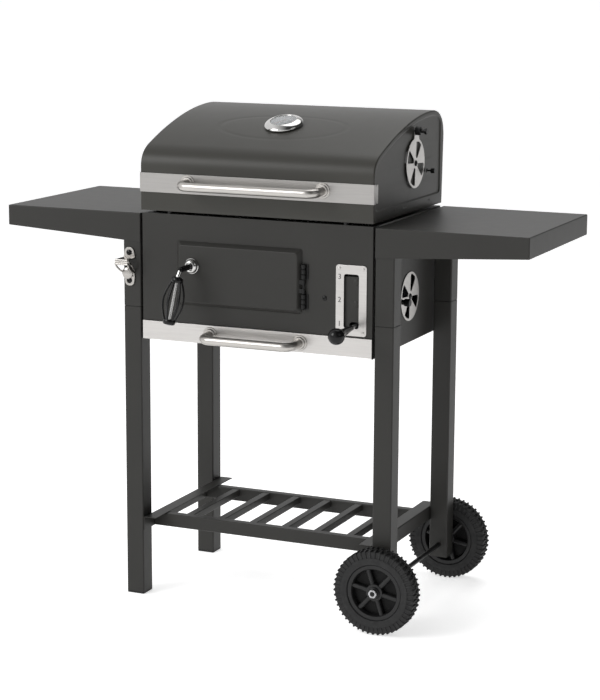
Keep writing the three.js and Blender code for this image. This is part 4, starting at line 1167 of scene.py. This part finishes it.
class BARBECUE_OT_door(Operator):
    """Raised fuel door with its barrel hinges, rosette, crank and wire grip"""
    bl_idname = "barbecue.door"
    bl_label = "Fuel Door"
    bl_options = {"REGISTER", "UNDO"}

    def execute(self, context):
        sizes = context.scene.barbecue_sizes
        self.door(sizes)
        self.hinges()
        self.rosette()
        self.handle(sizes)
        return {"FINISHED"}

    def door(self, sizes):
        box = Span("fuel_door")
        right = Span("door_hinge_lower").x0
        door = Shape().use("Anthracite_powder_coat")
        pressed_pan(door, box.x0, right, box.z0, box.z1,
                    Span("firebox_shell").y0 - 0.3 * MM, box.y0, 8 * MM)
        door.piece("fuel_door_pan", "door", "anthracite_paint", ["fuel_door"],
                   wall=sizes.sheet)
        self.barrels()

    def barrels(self):
        """The door's own hinge barrels with the pin through them."""
        cart = Span("door_hinge_lower")
        axis_x, axis_y = cart.x0 + HINGE_BARREL, cart.y0 + HINGE_BARREL
        low_barrel, high_barrel = 676 * MM, 693.7 * MM
        pin_low, pin_high, pin_radius = 643 * MM, 736.5 * MM, 2.1 * MM
        profile = scaled([(0, 0), (3, 0), (3.4, 0.5), (3.4, 9.5), (3, 10), (0, 10)])
        barrels = Shape().use("Black_paint")
        for z in (low_barrel, high_barrel):
            barrels.turned(profile, (axis_x, axis_y, z), (0, 0, 1), 24)
            barrels.box((axis_x - 14 * MM, axis_y - 1 * MM, z + 0.5 * MM),
                        (axis_x, axis_y + 1 * MM, z + 9.5 * MM), 0.4 * MM)
        barrels.bar([(axis_x, axis_y, pin_low), (axis_x, axis_y, pin_high)], pin_radius)
        barrels.piece("fuel_door_hinge_barrels", "door", "black_paint")

    def hinges(self):
        for place in ("lower", "upper"):
            node = f"door_hinge_{place}"
            box = Span(node)
            axis_x, axis_y = box.x0 + HINGE_BARREL, box.y0 + HINGE_BARREL
            hinge = Shape().use("Black_paint")
            lobes, high = 3, (box.z1 - box.z0) / MM
            profile = [(2.3, 0)]
            for number in range(lobes):
                low = high * number / lobes
                top = high * (number + 1) / lobes
                profile += [(3.6, low + 0.2), (4.9, low + 1.2), (4.9, top - 1.2), (3.6, top - 0.2)]
            profile += [(2.3, high)]
            hinge.turned(scaled(profile), (axis_x, axis_y, box.z0),
                         (0, 0, 1), 28)
            leaf = rectangle(axis_x + 1 * MM, box.x1, box.z0, box.z1, 1 * MM)
            hinge.plate(leaf, box.y1 - 1.5 * MM, box.y1, "Y")
            hinge.piece(f"fuel_door_hinge_{place}_leaf", "cart", "black_paint", [node])

    def rosette(self):
        box = Span("door_rosette")
        middle = box.middle
        rosette = Shape().use("Chrome")
        dome = [(0, 0), (15.8, 0), (16, 1), (15.8, 2.4), (14.8, 3.2), (14.5, 4.2), (14, 6.4),
                (12.8, 8.8), (10.8, 10.8), (8.4, 11.8), (7.2, 11.4), (6.9, 10), (0, 10)]
        rosette.turned(scaled(dome), (middle.x, box.y1, middle.z),
                       (0, -1, 0), 48)
        rosette.piece("fuel_door_rosette", "door", "chrome_plate", ["door_rosette"])

    def handle(self, sizes):
        collar, cage = Span("grip_collar").middle, Span("grip_cage").middle
        collar_share, cage_share = 0.07, 0.555
        axis = (cage - collar) / (cage_share - collar_share)
        top = collar - axis * collar_share
        unit = axis.normalized()
        side = (Vector((1, 0, 0)) - unit * unit.x).normalized()
        other = unit.cross(side)
        rosette = Span("door_rosette").middle
        elbow = Vector((rosette.x, top.y + 6 * MM, rosette.z - 1 * MM))
        crank = Shape().use("Gloss_black_plastic")
        arm = rounded([rosette, elbow, top - unit * 3 * MM], 7 * MM, 6, closed=False)
        split = len(arm) - 3
        taper = [6.2 * MM - 1.4 * MM * k / split for k in range(split + 1)]
        crank.bar(arm[:split + 1], taper, 20)
        crank.use("Chrome")
        crank.bar(arm[split:] + [top + unit * 6 * MM], 4.2 * MM, 20)
        crank.bar([top, top + axis * 0.97], 3.0 * MM, 20)
        tongue = Span("door_handle_rod")
        crank.use("Zinc_plate").box((rosette.x - 7 * MM, tongue.y1 - 3 * MM, rosette.z - 30 * MM),
                                    (rosette.x + 7 * MM, tongue.y1 - 0.5 * MM, rosette.z + 8 * MM))
        crank.bar([(rosette.x, tongue.y1 - 0.4 * MM, rosette.z), rosette], 3.5 * MM)
        crank.piece("fuel_door_crank", "door_handle", "chrome_plate", ["door_handle_rod"])

        grip = Shape().use("Gloss_black_plastic")
        long = axis.length
        ring = [(4.4, 0), (7.6, 0), (10.6, 1.6), (12.2, 4.6), (12.4, 8), (11.6, 11), (9, 12.4),
                (4.4, 12.4)]
        grip.turned(scaled(ring), top - unit * 1.5 * MM, unit, 28)
        grip.piece("fuel_door_grip_collar", "door_handle", "black_plastic", ["grip_collar"])
        grip = Shape().use("Gloss_black_plastic")
        cap = [(0, 0), (9.4, 0), (12, 1.4), (13, 4.4), (12.8, 8), (10.6, 11), (6, 12.2),
               (4, 11), (0, 11)]
        grip.turned(scaled(cap), top + unit * (long - 11.5 * MM), unit,
                    28)
        wires, bow, stops = 6, 11 * MM, 16
        for number in range(wires):
            turn = math.radians(30) + number * 2 * math.pi / wires
            out = side * math.cos(turn) + other * math.sin(turn)
            path = []
            for k in range(stops + 1):
                share = k / stops
                spread = 9.4 * MM + bow * math.sin(math.pi * share)
                path.append(top + axis * (collar_share + 0.86 * share) + out * spread)
            grip.bar(path, sizes.wire, 12)
        grip.piece("fuel_door_wire_grip", "door_handle", "black_plastic", ["grip_cage"])


# ------------------------------------------------------------------ gauge and lever
class BARBECUE_OT_gauge(Operator):
    """Height gauge plate with its window, rivets and numbers"""
    bl_idname = "barbecue.gauge"
    bl_label = "Height Gauge"
    bl_options = {"REGISTER", "UNDO"}

    def execute(self, context):
        box = Span("gauge_plate")
        back = Span("firebox_shell").y0 - 0.3 * MM
        face = back - 1.5 * MM
        plate = Shape().use("Brushed_stainless")
        window = rectangle(box.x0 + 17.3 * MM, box.x1 - 16.4 * MM, box.z0 + 14.8 * MM,
                           box.z1 - 18.1 * MM, 5 * MM, 6)
        plate.plate(rectangle(box.x0, box.x1, box.z0, box.z1, 6 * MM, 6), face, back, "Y",
                    [window], ease=0.4 * MM)
        for x in (box.x0 + 7 * MM, box.x1 - 7 * MM):
            for z in (box.z0 + 7 * MM, box.z1 - 7 * MM):
                pan_head(plate, (x, face, z), (0, -1, 0), 3.1 * MM, 1.6 * MM, False)
        plate.piece("height_gauge_plate", "cart", "stainless_steel", ["gauge_plate"])
        self.numbers(box, face)
        return {"FINISHED"}

    def numbers(self, box, face):
        """Engraved step numbers beside the window."""
        numbers = Shape().use("Dial_ink")
        heights = (("3", 715 * MM), ("2", 669 * MM), ("1", 621 * MM))
        for text, z in heights:
            curve = bpy.data.curves.new("number", "FONT")
            curve.body = text
            curve.size = 15 * MM
            curve.extrude = 0.15 * MM
            curve.align_x = "CENTER"
            curve.align_y = "CENTER"
            holder = bpy.data.objects.new("number", curve)
            bpy.context.scene.collection.objects.link(holder)
            bpy.context.view_layer.update()
            graph = bpy.context.evaluated_depsgraph_get()
            mesh = bpy.data.meshes.new_from_object(holder.evaluated_get(graph))
            place = Matrix.Translation((box.x0 + 8.2 * MM, face - 0.1 * MM, z))
            mesh.transform(place @ Matrix.Rotation(math.pi / 2, 4, "X"))
            numbers.mesh.from_mesh(mesh)
            bpy.data.objects.remove(holder)
        bmesh.ops.remove_doubles(numbers.mesh, verts=numbers.mesh.verts[:], dist=0.01 * MM)
        numbers.piece("height_gauge_numbers", "cart", "stainless_steel")


class BARBECUE_OT_lift(Operator):
    """Charcoal pan on its carrier, with the lever and its ball knob"""
    bl_idname = "barbecue.lift"
    bl_label = "Charcoal Lift"
    bl_options = {"REGISTER", "UNDO"}

    def execute(self, context):
        dress("charcoal_pan", "Black_enamel", 0.5 * MM)
        dress("lift_frame", "Black_paint", 0.4 * MM)
        rod_box, knob_box = Span("lift_lever"), Span("lever_knob")
        knob = knob_box.middle
        radius = (knob_box.z1 - knob_box.z0) / 2
        bend_y = Span("firebox_shell").y0 - 14 * MM
        rod_height = 618 * MM
        root = Vector((knob.x, rod_box.y1, rod_height))
        bend = Vector((knob.x, bend_y, rod_height))
        along = (knob - bend).normalized()
        lever = Shape().use("Zinc_plate")
        path = rounded([root, bend, knob - along * radius], 8 * MM, 5, closed=False)
        lever.bar(path, 4 * MM, 20)
        self.slide(rod_box)
        eye_y = 60 * MM + Span("firebox_shell").y0
        lever.turned(scaled([(3.4, 0), (7.5, 0), (7.5, 8), (3.4, 8)]),
                     (knob.x, eye_y, rod_height - 4 * MM), (0, 0, 1), 28)
        lever.piece("lift_lever_rod", "lever", "zinc_plate", ["lift_lever"])
        ball = Shape().use("Gloss_black_plastic")
        neck = [(0, -77), (4.6, -77), (5.4, -76), (6.6, -52), (8.6, -30), (10.6, -19),
                (12, -14.5)]
        profile = scaled(neck)
        arcs = 18
        for k in range(arcs + 1):
            turn = math.radians(-38 + 128 * k / arcs)
            profile.append((radius * math.cos(turn), radius * math.sin(turn)))
        profile[-1] = (0, radius)
        ball.turned(profile, knob, along, 40)
        ball.piece("lift_lever_ball", "lever", "black_plastic", ["lever_knob"])
        return {"FINISHED"}

    def slide(self, rod_box):
        """Plate behind the gauge's window: it rises with the pan and holds the lever's hole."""
        window, wall = Span("gauge_plate"), Span("firebox_shell").y0
        rod_x = rod_box.middle.x
        low, high = 601 * MM, 716 * MM
        hole_low, hole_high, dimples = 611 * MM, 625 * MM, (661 * MM, 705 * MM)
        face, back = wall + 3.6 * MM, wall + 4.8 * MM
        slide = Shape().use("Anthracite_powder_coat")
        hole = rectangle(rod_x - 14 * MM, rod_x + 7 * MM, hole_low, hole_high, 6.8 * MM, 6)
        slide.plate(rectangle(window.x0 + 8 * MM, window.x1 - 6 * MM, low, high, 2 * MM),
                    face, back, "Y", [hole])
        dome = [(0, 1.6), (3.5, 1.4), (6, 0.8), (7, 0), (0, 0)]
        for z in dimples:
            slide.turned(scaled(reversed(dome)),
                         (rod_x, face, z), (0, -1, 0), 28)
        slide.piece("gauge_slide_plate", "lift", "anthracite_paint")


# ------------------------------------------------------------------ bottle opener
class BARBECUE_OT_opener(Operator):
    """Cast bottle opener on the left front leg"""
    bl_idname = "barbecue.opener"
    bl_label = "Bottle Opener"
    bl_options = {"REGISTER", "UNDO"}

    def execute(self, context):
        box = Span("bottle_opener")
        self.x = box.middle.x - 2.5 * MM
        self.face = box.y1
        self.top = (box.z0 + box.z1) / 2 + 40 * MM
        opener = Shape().use("Cast_nickel")
        thick = 3 * MM
        lug = self.outline([(-13.5, -21.5), (13.5, -21.5), (9.5, 0), (-9.5, 0)], [2, 2, 9, 9])
        opener.plate(lug, self.face - thick, self.face, "Y", ease=0.9 * MM)
        low = self.outline([(-9.8, -80), (9.8, -80), (12.6, -62), (11.2, -50), (-16, -50),
                            (-11, -62)], [9.4, 9.4, 4, 1, 1, 5])
        opener.plate(low, self.face - thick, self.face, "Y", ease=0.9 * MM)
        self.hood(opener)
        opener.use("Gloss_black_plastic")
        for drop in (10.5, 69):
            pan_head(opener, self.at(0, 3, -drop), (0, -1, 0), 6 * MM, 3.2 * MM)
        opener.piece("bottle_opener_casting", "cart", "chrome_plate", ["bottle_opener"])
        return {"FINISHED"}

    def outline(self, points, radii):
        """Outline on the leg's face in millimetres from the top of the opener."""
        return rounded([(self.x + u * MM, self.top + v * MM) for u, v in points],
                       [radius * MM for radius in radii], 6)

    def at(self, across, out, height):
        """Place in millimetres across, out from the leg's face and up from the top."""
        return Vector((self.x + across * MM, self.face - out * MM, self.top + height * MM))

    def hood(self, opener):
        """Hood with its hooked lip on two curved cheeks, and the rounded rest beneath."""
        def shade(across, share):
            out = 1.5 + 34.5 * share
            return self.at(across * (13.5 + share), out, -20.5 - 1.2 * share ** 3)
        rings = []
        for k in range(9):
            share = k / 8
            left, right = shade(-1, share), shade(1, share)
            drop = Vector((0, 0, 2.4 * MM))
            rings.append(opener.ring([left, right, right - drop, left - drop]))
        faces = opener.sheet([rings[0]]) + opener.sheet([rings[-1]])
        for lower, upper in zip(rings, rings[1:]):
            faces += opener.strip(lower, upper)
        opener.outward(faces)
        for height, radius in ((-22, 2.0), (-26.4, 1.5), (-30.6, 2.1)):
            opener.bar([self.at(-14.6, 36.5, height), self.at(14.6, 36.5, height)],
                       radius * MM, 16)
        lip = rectangle(-14.6 * MM + self.x, 14.6 * MM + self.x, self.top - 31.5 * MM,
                        self.top - 21.5 * MM, 1.5 * MM)
        opener.plate(lip, self.face - 37.2 * MM, self.face - 35 * MM, "Y")
        for side, foot in ((-1, -15.2), (1, 10.2)):
            cheek = [(side * 14.4, 36.4, -30.4), (side * 14.2, 30, -37.5), (foot, 14, -47),
                     (foot, 2, -52)]
            path = rounded([self.at(*p) for p in cheek], 9 * MM, 6, closed=False)
            opener.bar(path, 1.9 * MM, 16)
        rib = [(14.4, 36, -25), (13.2, 18, -33), (11.6, 2.5, -48)]
        opener.bar(rounded([self.at(*p) for p in rib], 10 * MM, 6, closed=False), 1.8 * MM, 16)
        dish = [(0, 0), (11.5, 0), (12.6, 2), (12, 4.6), (9.4, 6.6), (5, 7.4), (0, 7.6)]
        opener.turned(scaled(dish), self.at(-3.5, 1, -53.5), (0, -1, 0), 36)
        # A thin black sheet laid on the casting's face is painted shade standing for a slit.
        opener.use("Black_paint")
        slit_painted_shade = rectangle(self.x + 4.5 * MM, self.x + 11 * MM, self.top - 60 * MM,
                         self.top - 58.4 * MM, 0.7 * MM)
        opener.plate(slit_painted_shade, self.face - 3.3 * MM, self.face - 2 * MM, "Y", ease=0.2 * MM)


# ------------------------------------------------------------------ wheels
class BARBECUE_OT_wheels(Operator):
    """Ribbed wheels with lugged tyres, the axle and its nuts"""
    bl_idname = "barbecue.wheels"
    bl_label = "Wheels and Axle"
    bl_options = {"REGISTER", "UNDO"}

    def execute(self, context):
        sizes = context.scene.barbecue_sizes
        for end in ENDS:
            self.tyre(sizes, end)
            self.wheel(end)
        dress("wheel_axle", "Black_paint", 0.5 * MM)
        self.nuts()
        return {"FINISHED"}

    def tyre(self, sizes, end):
        """Two rows of lugs, half a pitch apart, either side of a centre groove."""
        box = Span(f"tyre_{end}")
        centre = box.middle
        radius, half, inner = (box.z1 - box.z0) / 2, (box.y1 - box.y0) / 2, 58 * MM
        base = radius - sizes.lug
        section = [(inner, -half + 2 * MM, 0, 0)]
        for r, y, share in ((1.5, 0.9, 0), (6, 0.9, 0), (7, 0.4, 0), (14, 0.4, 0)):
            section.append((inner + r * MM, -half + y * MM, share, 0))
        for r, y, share, side in ((-13, 1.6, 0, 0), (-12, 1.6, 0, 1), (-2, 2.2, 0.8, 1),
                                  (0, 3.4, 1, 0.4)):
            section.append((base + r * MM, -half + y * MM, share, side))
        section += [(base, -1.6 * MM, 1, 0), (base - 1.6 * MM, -1 * MM, 0, 0)]
        section += [(r, -y, share, side) for r, y, share, side in reversed(section)]
        steps = 8
        tyre = Shape().use("Tyre_rubber")
        rings = []
        for number in range(sizes.lugs * steps):
            turn = 2 * math.pi * number / (sizes.lugs * steps)
            ring = []
            for r, y, share, side in section:
                phase = (number / steps + (0.5 if y > 0 else 0)) % 1
                rise = 1 if 0.16 < phase < 0.62 else 0
                r += sizes.lug * share * rise
                y += math.copysign(1.4 * MM, y) * side * rise
                ring.append(centre + Vector((r * math.cos(turn), y, r * math.sin(turn))))
            rings.append(tyre.ring(ring))
        faces = []
        for i, ring in enumerate(rings):
            faces += tyre.strip(ring, rings[(i + 1) % len(rings)])
        tyre.outward(faces)
        tyre.piece(f"{end}_wheel_tyre", f"{end}_wheel", "tyre", [f"tyre_{end}"], crease=28)

    def wheel(self, end):
        box = Span(f"wheel_{end}")
        centre = box.middle
        half = (box.y1 - box.y0) / 2
        wheel = Shape().use("Black_plastic")
        flange = half - 3 * MM
        rim = [(47 * MM, -flange + 4 * MM), (49.5 * MM, -flange + 0.4 * MM),
               (52 * MM, -flange), (56.6 * MM, -flange), (57.7 * MM, -flange + 1 * MM)]
        profile = rim + [(r, -y) for r, y in reversed(rim)] + [(46 * MM, 0)]
        wheel.turned(profile, centre, (0, 1, 0), 64)
        web = [(0, -2), (47, -2), (47, 2), (0, 2)]
        # The web takes the darker black, as painted shade of its deep recess.
        wheel.use("Wheel_recess")
        wheel.turned(scaled(web), centre, (0, 1, 0), 64)
        wheel.use("Black_plastic")
        hub = [(5.3, -half / MM), (11, -half / MM), (12, -half / MM + 0.8), (12.6, -half / MM + 4),
               (17.2, -half / MM + 5), (18, -half / MM + 6.5), (18.4, 0)]
        hub += [(r, -h) for r, h in reversed(hub[:-1])]
        wheel.turned(scaled(hub), centre, (0, 1, 0), 40)
        ribs = 6
        for number in range(ribs):
            wheel.at = (Matrix.Translation(centre)
                        @ Matrix.Rotation(math.radians(12) + number * 2 * math.pi / ribs, 4, "Y"))
            crest = half - 11 * MM
            wheel.plate(rectangle(16 * MM, 48.5 * MM, -5.5 * MM, 5.5 * MM, 0.5 * MM),
                        -crest, crest, "Y", ease=0.1 * MM, steps=1)
            for level in (-crest, crest):
                wheel.bar([(15 * MM, level, 0), (48 * MM, level, 0)], 5.5 * MM, 20)
        wheel.at = Matrix.Identity(4)
        wheel.piece(f"{end}_ribbed_wheel", f"{end}_wheel", "black_plastic", [f"wheel_{end}"])

    def nuts(self):
        axle = Span("wheel_axle")
        middle = axle.middle
        nuts = Shape().use("Zinc_plate")
        profile = scaled([(4.6, 0), (8.6, 0), (9, 0.5), (8.4, 1.3), (6.2, 1.6), (4.6, 1.3)])
        for y, outward in ((axle.y0, -1), (axle.y1, 1)):
            base = (middle.x, y - outward * 1.4 * MM, middle.z)
            nuts.turned(profile, base, (0, outward, 0), 36)
        nuts.piece("wheel_nut_caps", "cart", "zinc_plate")


# ------------------------------------------------------------------ grates and hinges
class BARBECUE_OT_grates(Operator):
    """Welded wire cooking grates in enamel"""
    bl_idname = "barbecue.grates"
    bl_label = "Cooking Grates"
    bl_options = {"REGISTER", "UNDO"}

    def execute(self, context):
        for side, _ in SIDES:
            node = f"cooking_grate_{side}"
            box = Span(node)
            grate = Shape().use("Black_enamel")
            thick = 3.4 * MM
            level = box.z0 + thick
            x0, x1, y0, y1 = box.x0 + thick, box.x1 - thick, box.y0 + thick, box.y1 - thick
            border = rounded([(x0, y0, level), (x1, y0, level), (x1, y1, level),
                              (x0, y1, level)], 12 * MM, 6)
            grate.bar(border, thick, 16, closed=True)
            bars = 16
            for number in range(1, bars):
                x = x0 + (x1 - x0) * number / bars
                grate.bar([(x, y0, level + 1 * MM), (x, y1, level + 1 * MM)], 2.2 * MM, 12)
            for share in (0.33, 0.67):
                y = y0 + (y1 - y0) * share
                grate.bar([(x0, y, level - 1 * MM), (x1, y, level - 1 * MM)], 2.3 * MM, 12)
            grate.piece(f"{side}_wire_grate", f"{side}_grate", "enamel", [node])
        return {"FINISHED"}


class BARBECUE_OT_lid_hinges(Operator):
    """Barrel hinges behind the lid"""
    bl_idname = "barbecue.lid_hinges"
    bl_label = "Lid Hinges"
    bl_options = {"REGISTER", "UNDO"}

    def execute(self, context):
        screws = {"base": Shape().use("Black_paint"), "leaf": Shape().use("Black_paint")}
        for side, _ in SIDES:
            dress(f"lid_hinge_base_{side}", "Zinc_plate", 0.4 * MM)
            dress(f"lid_hinge_leaf_{side}", "Zinc_plate", 0.4 * MM)
            base = Span(f"lid_hinge_base_{side}")
            leaf = Span(f"lid_hinge_leaf_{side}")
            pan_head(screws["base"], ((base.x0 + base.x1) / 2, base.y0 + 2.3 * MM,
                                      base.z0 + 10 * MM), (0, 1, 0), 4 * MM, 2.2 * MM)
            for z in (leaf.z1 - 9 * MM, leaf.z1 - 24 * MM):
                pan_head(screws["leaf"], (leaf.x1 - 10 * MM, leaf.y1 - 8.5 * MM, z), (0, 1, 0),
                         4 * MM, 2.2 * MM)
        screws["base"].piece("lid_hinge_base_screws", "cart", "black_paint")
        screws["leaf"].piece("lid_hinge_leaf_screws", "lid", "black_paint")
        return {"FINISHED"}


# ------------------------------------------------------------------ studio
LAMPS = (("key", (-2.6, -3.4, 3.2), 2.6), ("fill", (3.4, -1.2, 2.6), 2.2),
         ("top", (0.2, 1.2, 3.6), 2.6))  # use, place and width of each round lamp
LAMP_AIM = Vector((0, 0, 0.55))


class StudioSettings(PropertyGroup):
    """Camera and light of the studio."""
    focal: FloatProperty(name="Focal length", description="Lens of the camera in millimetres",
                         default=105.8, unit="CAMERA")
    heading: FloatProperty(name="Heading", description="Camera turned left of straight ahead",
                           default=math.radians(23.91), subtype="ANGLE")
    tilt: FloatProperty(name="Tilt", description="Camera tipped down", subtype="ANGLE",
                        default=math.radians(11.15))
    roll: FloatProperty(name="Roll", description="Camera rolled", subtype="ANGLE",
                        default=math.radians(0.29))
    place: FloatVectorProperty(name="Place", description="Where the camera stands", size=3,
                               default=(1.74188, -3.85831, 1.35853), unit="LENGTH")
    key: FloatProperty(name="Key light", description="Power of the large front light",
                       default=95.0, unit="POWER")
    fill: FloatProperty(name="Fill light", description="Power of the side light", default=6.0,
                        unit="POWER")
    top: FloatProperty(name="Top light", description="Power of the light above", default=34.0,
                       unit="POWER")
    sky: FloatProperty(name="Surround", description="Strength of the pale surround",
                       default=0.98)
    shaded_sky: FloatProperty(name="Shaded surround", default=0.06,
                              description="Strength of the surround high on the right")


class BARBECUE_OT_studio(Operator):
    """Pale floor, soft lights, pale surround and the camera"""
    bl_idname = "barbecue.studio"
    bl_label = "Studio"
    bl_options = {"REGISTER", "UNDO"}

    def execute(self, context):
        studio = context.scene.barbecue_studio
        self.floor()
        self.surround(context.scene, studio)
        for use, place, width in LAMPS:
            self.light(f"{use.capitalize()}_light", getattr(studio, use), place, width)
        self.camera(context.scene, studio)
        context.scene.view_settings.view_transform = "Standard"
        return {"FINISHED"}

    def floor(self):
        reach = 90.0
        mesh = bpy.data.meshes.new("studio_floor")
        mesh.from_pydata([(-reach, -reach, 0), (reach, -reach, 0), (reach, reach, 0),
                          (-reach, reach, 0)], [], [(0, 1, 2, 3)])
        mesh.materials.append(material("Studio_floor"))
        floor = bpy.data.objects.new("studio_floor", mesh)
        bpy.context.scene.collection.objects.link(floor)
        floor.location.z = -0.5 * MM

    def surround(self, scene, studio):
        world = bpy.data.worlds.new("Studio_surround")
        scene.world = world
        world.use_nodes = True
        tree = world.node_tree
        shade = tree.nodes["Background"]
        shade.inputs["Color"].default_value = (1, 1, 1, 1)
        where = tree.nodes.new("ShaderNodeTexCoord")
        facing = tree.nodes.new("ShaderNodeVectorMath")
        facing.operation = "DOT_PRODUCT"
        high_right = Vector((0.82, 0.1, 0.56)).normalized()
        facing.inputs[1].default_value = high_right
        falloff = tree.nodes.new("ShaderNodeMapRange")
        for socket, value in zip(("From Min", "From Max", "To Min", "To Max"),
                                 (0.0, 0.62, studio.sky, studio.shaded_sky)):
            falloff.inputs[socket].default_value = value
        tree.links.new(where.outputs["Generated"], facing.inputs[0])
        tree.links.new(facing.outputs["Value"], falloff.inputs["Value"])
        tree.links.new(falloff.outputs["Result"], shade.inputs["Strength"])

    def light(self, name, power, place, width):
        data = bpy.data.lights.new(name, "AREA")
        data.energy = power
        data.shape = "DISK"
        data.size = width
        lamp = bpy.data.objects.new(name, data)
        bpy.context.scene.collection.objects.link(lamp)
        aim = LAMP_AIM - Vector(place)
        lamp.matrix_world = (Matrix.Translation(place)
                             @ aim.to_track_quat("-Z", "Y").to_matrix().to_4x4())

    def camera(self, scene, studio):
        data = bpy.data.cameras.new("Studio_camera")
        data.sensor_width = 36
        data.lens = studio.focal
        data.clip_end = 300
        camera = bpy.data.objects.new("Studio_camera", data)
        scene.collection.objects.link(camera)
        turn = (Matrix.Rotation(studio.heading, 4, "Z")
                @ Matrix.Rotation(math.pi / 2 - studio.tilt, 4, "X")
                @ Matrix.Rotation(studio.roll, 4, "Z"))
        camera.matrix_world = Matrix.Translation(studio.place) @ turn
        scene.camera = camera


# ------------------------------------------------------------------ sidebar and main
STEPS = (
    BARBECUE_OT_legs, BARBECUE_OT_tables, BARBECUE_OT_shelf, BARBECUE_OT_firebox,
    BARBECUE_OT_lid, BARBECUE_OT_lid_band, BARBECUE_OT_thermometer, BARBECUE_OT_vents,
    BARBECUE_OT_lid_hinges, BARBECUE_OT_door, BARBECUE_OT_gauge, BARBECUE_OT_lift,
    BARBECUE_OT_drawer, BARBECUE_OT_grates, BARBECUE_OT_opener, BARBECUE_OT_wheels,
    BARBECUE_OT_studio,
)


class BARBECUE_PT_sidebar(Panel):
    """Lists the sizes, the colours and the steps that build the barbecue"""
    bl_idname = "BARBECUE_PT_sidebar"
    bl_label = "Charcoal Trolley Barbecue"
    bl_space_type = "VIEW_3D"
    bl_region_type = "UI"
    bl_category = "Barbecue"

    def draw(self, context):
        for group in ("barbecue_sizes", "barbecue_tones", "barbecue_studio"):
            settings = getattr(context.scene, group)
            column = self.layout.column(align=True)
            for name in settings.__annotations__:
                column.prop(settings, name)
        for step in STEPS:
            self.layout.operator(step.bl_idname)


CLASSES = (BarbecueSizes, BarbecueTones, StudioSettings, *STEPS, BARBECUE_PT_sidebar)


def register():
    for cls in CLASSES:
        bpy.utils.register_class(cls)
    bpy.types.Scene.barbecue_sizes = PointerProperty(type=BarbecueSizes)
    bpy.types.Scene.barbecue_tones = PointerProperty(type=BarbecueTones)
    bpy.types.Scene.barbecue_studio = PointerProperty(type=StudioSettings)


def unregister():
    for name in ("barbecue_sizes", "barbecue_tones", "barbecue_studio"):
        delattr(bpy.types.Scene, name)
    for cls in reversed(CLASSES):
        bpy.utils.unregister_class(cls)


def main():
    register()
    for step in STEPS:
        group, name = step.bl_idname.split(".")
        getattr(getattr(bpy.ops, group), name)()


if __name__ == "__main__":
    main()
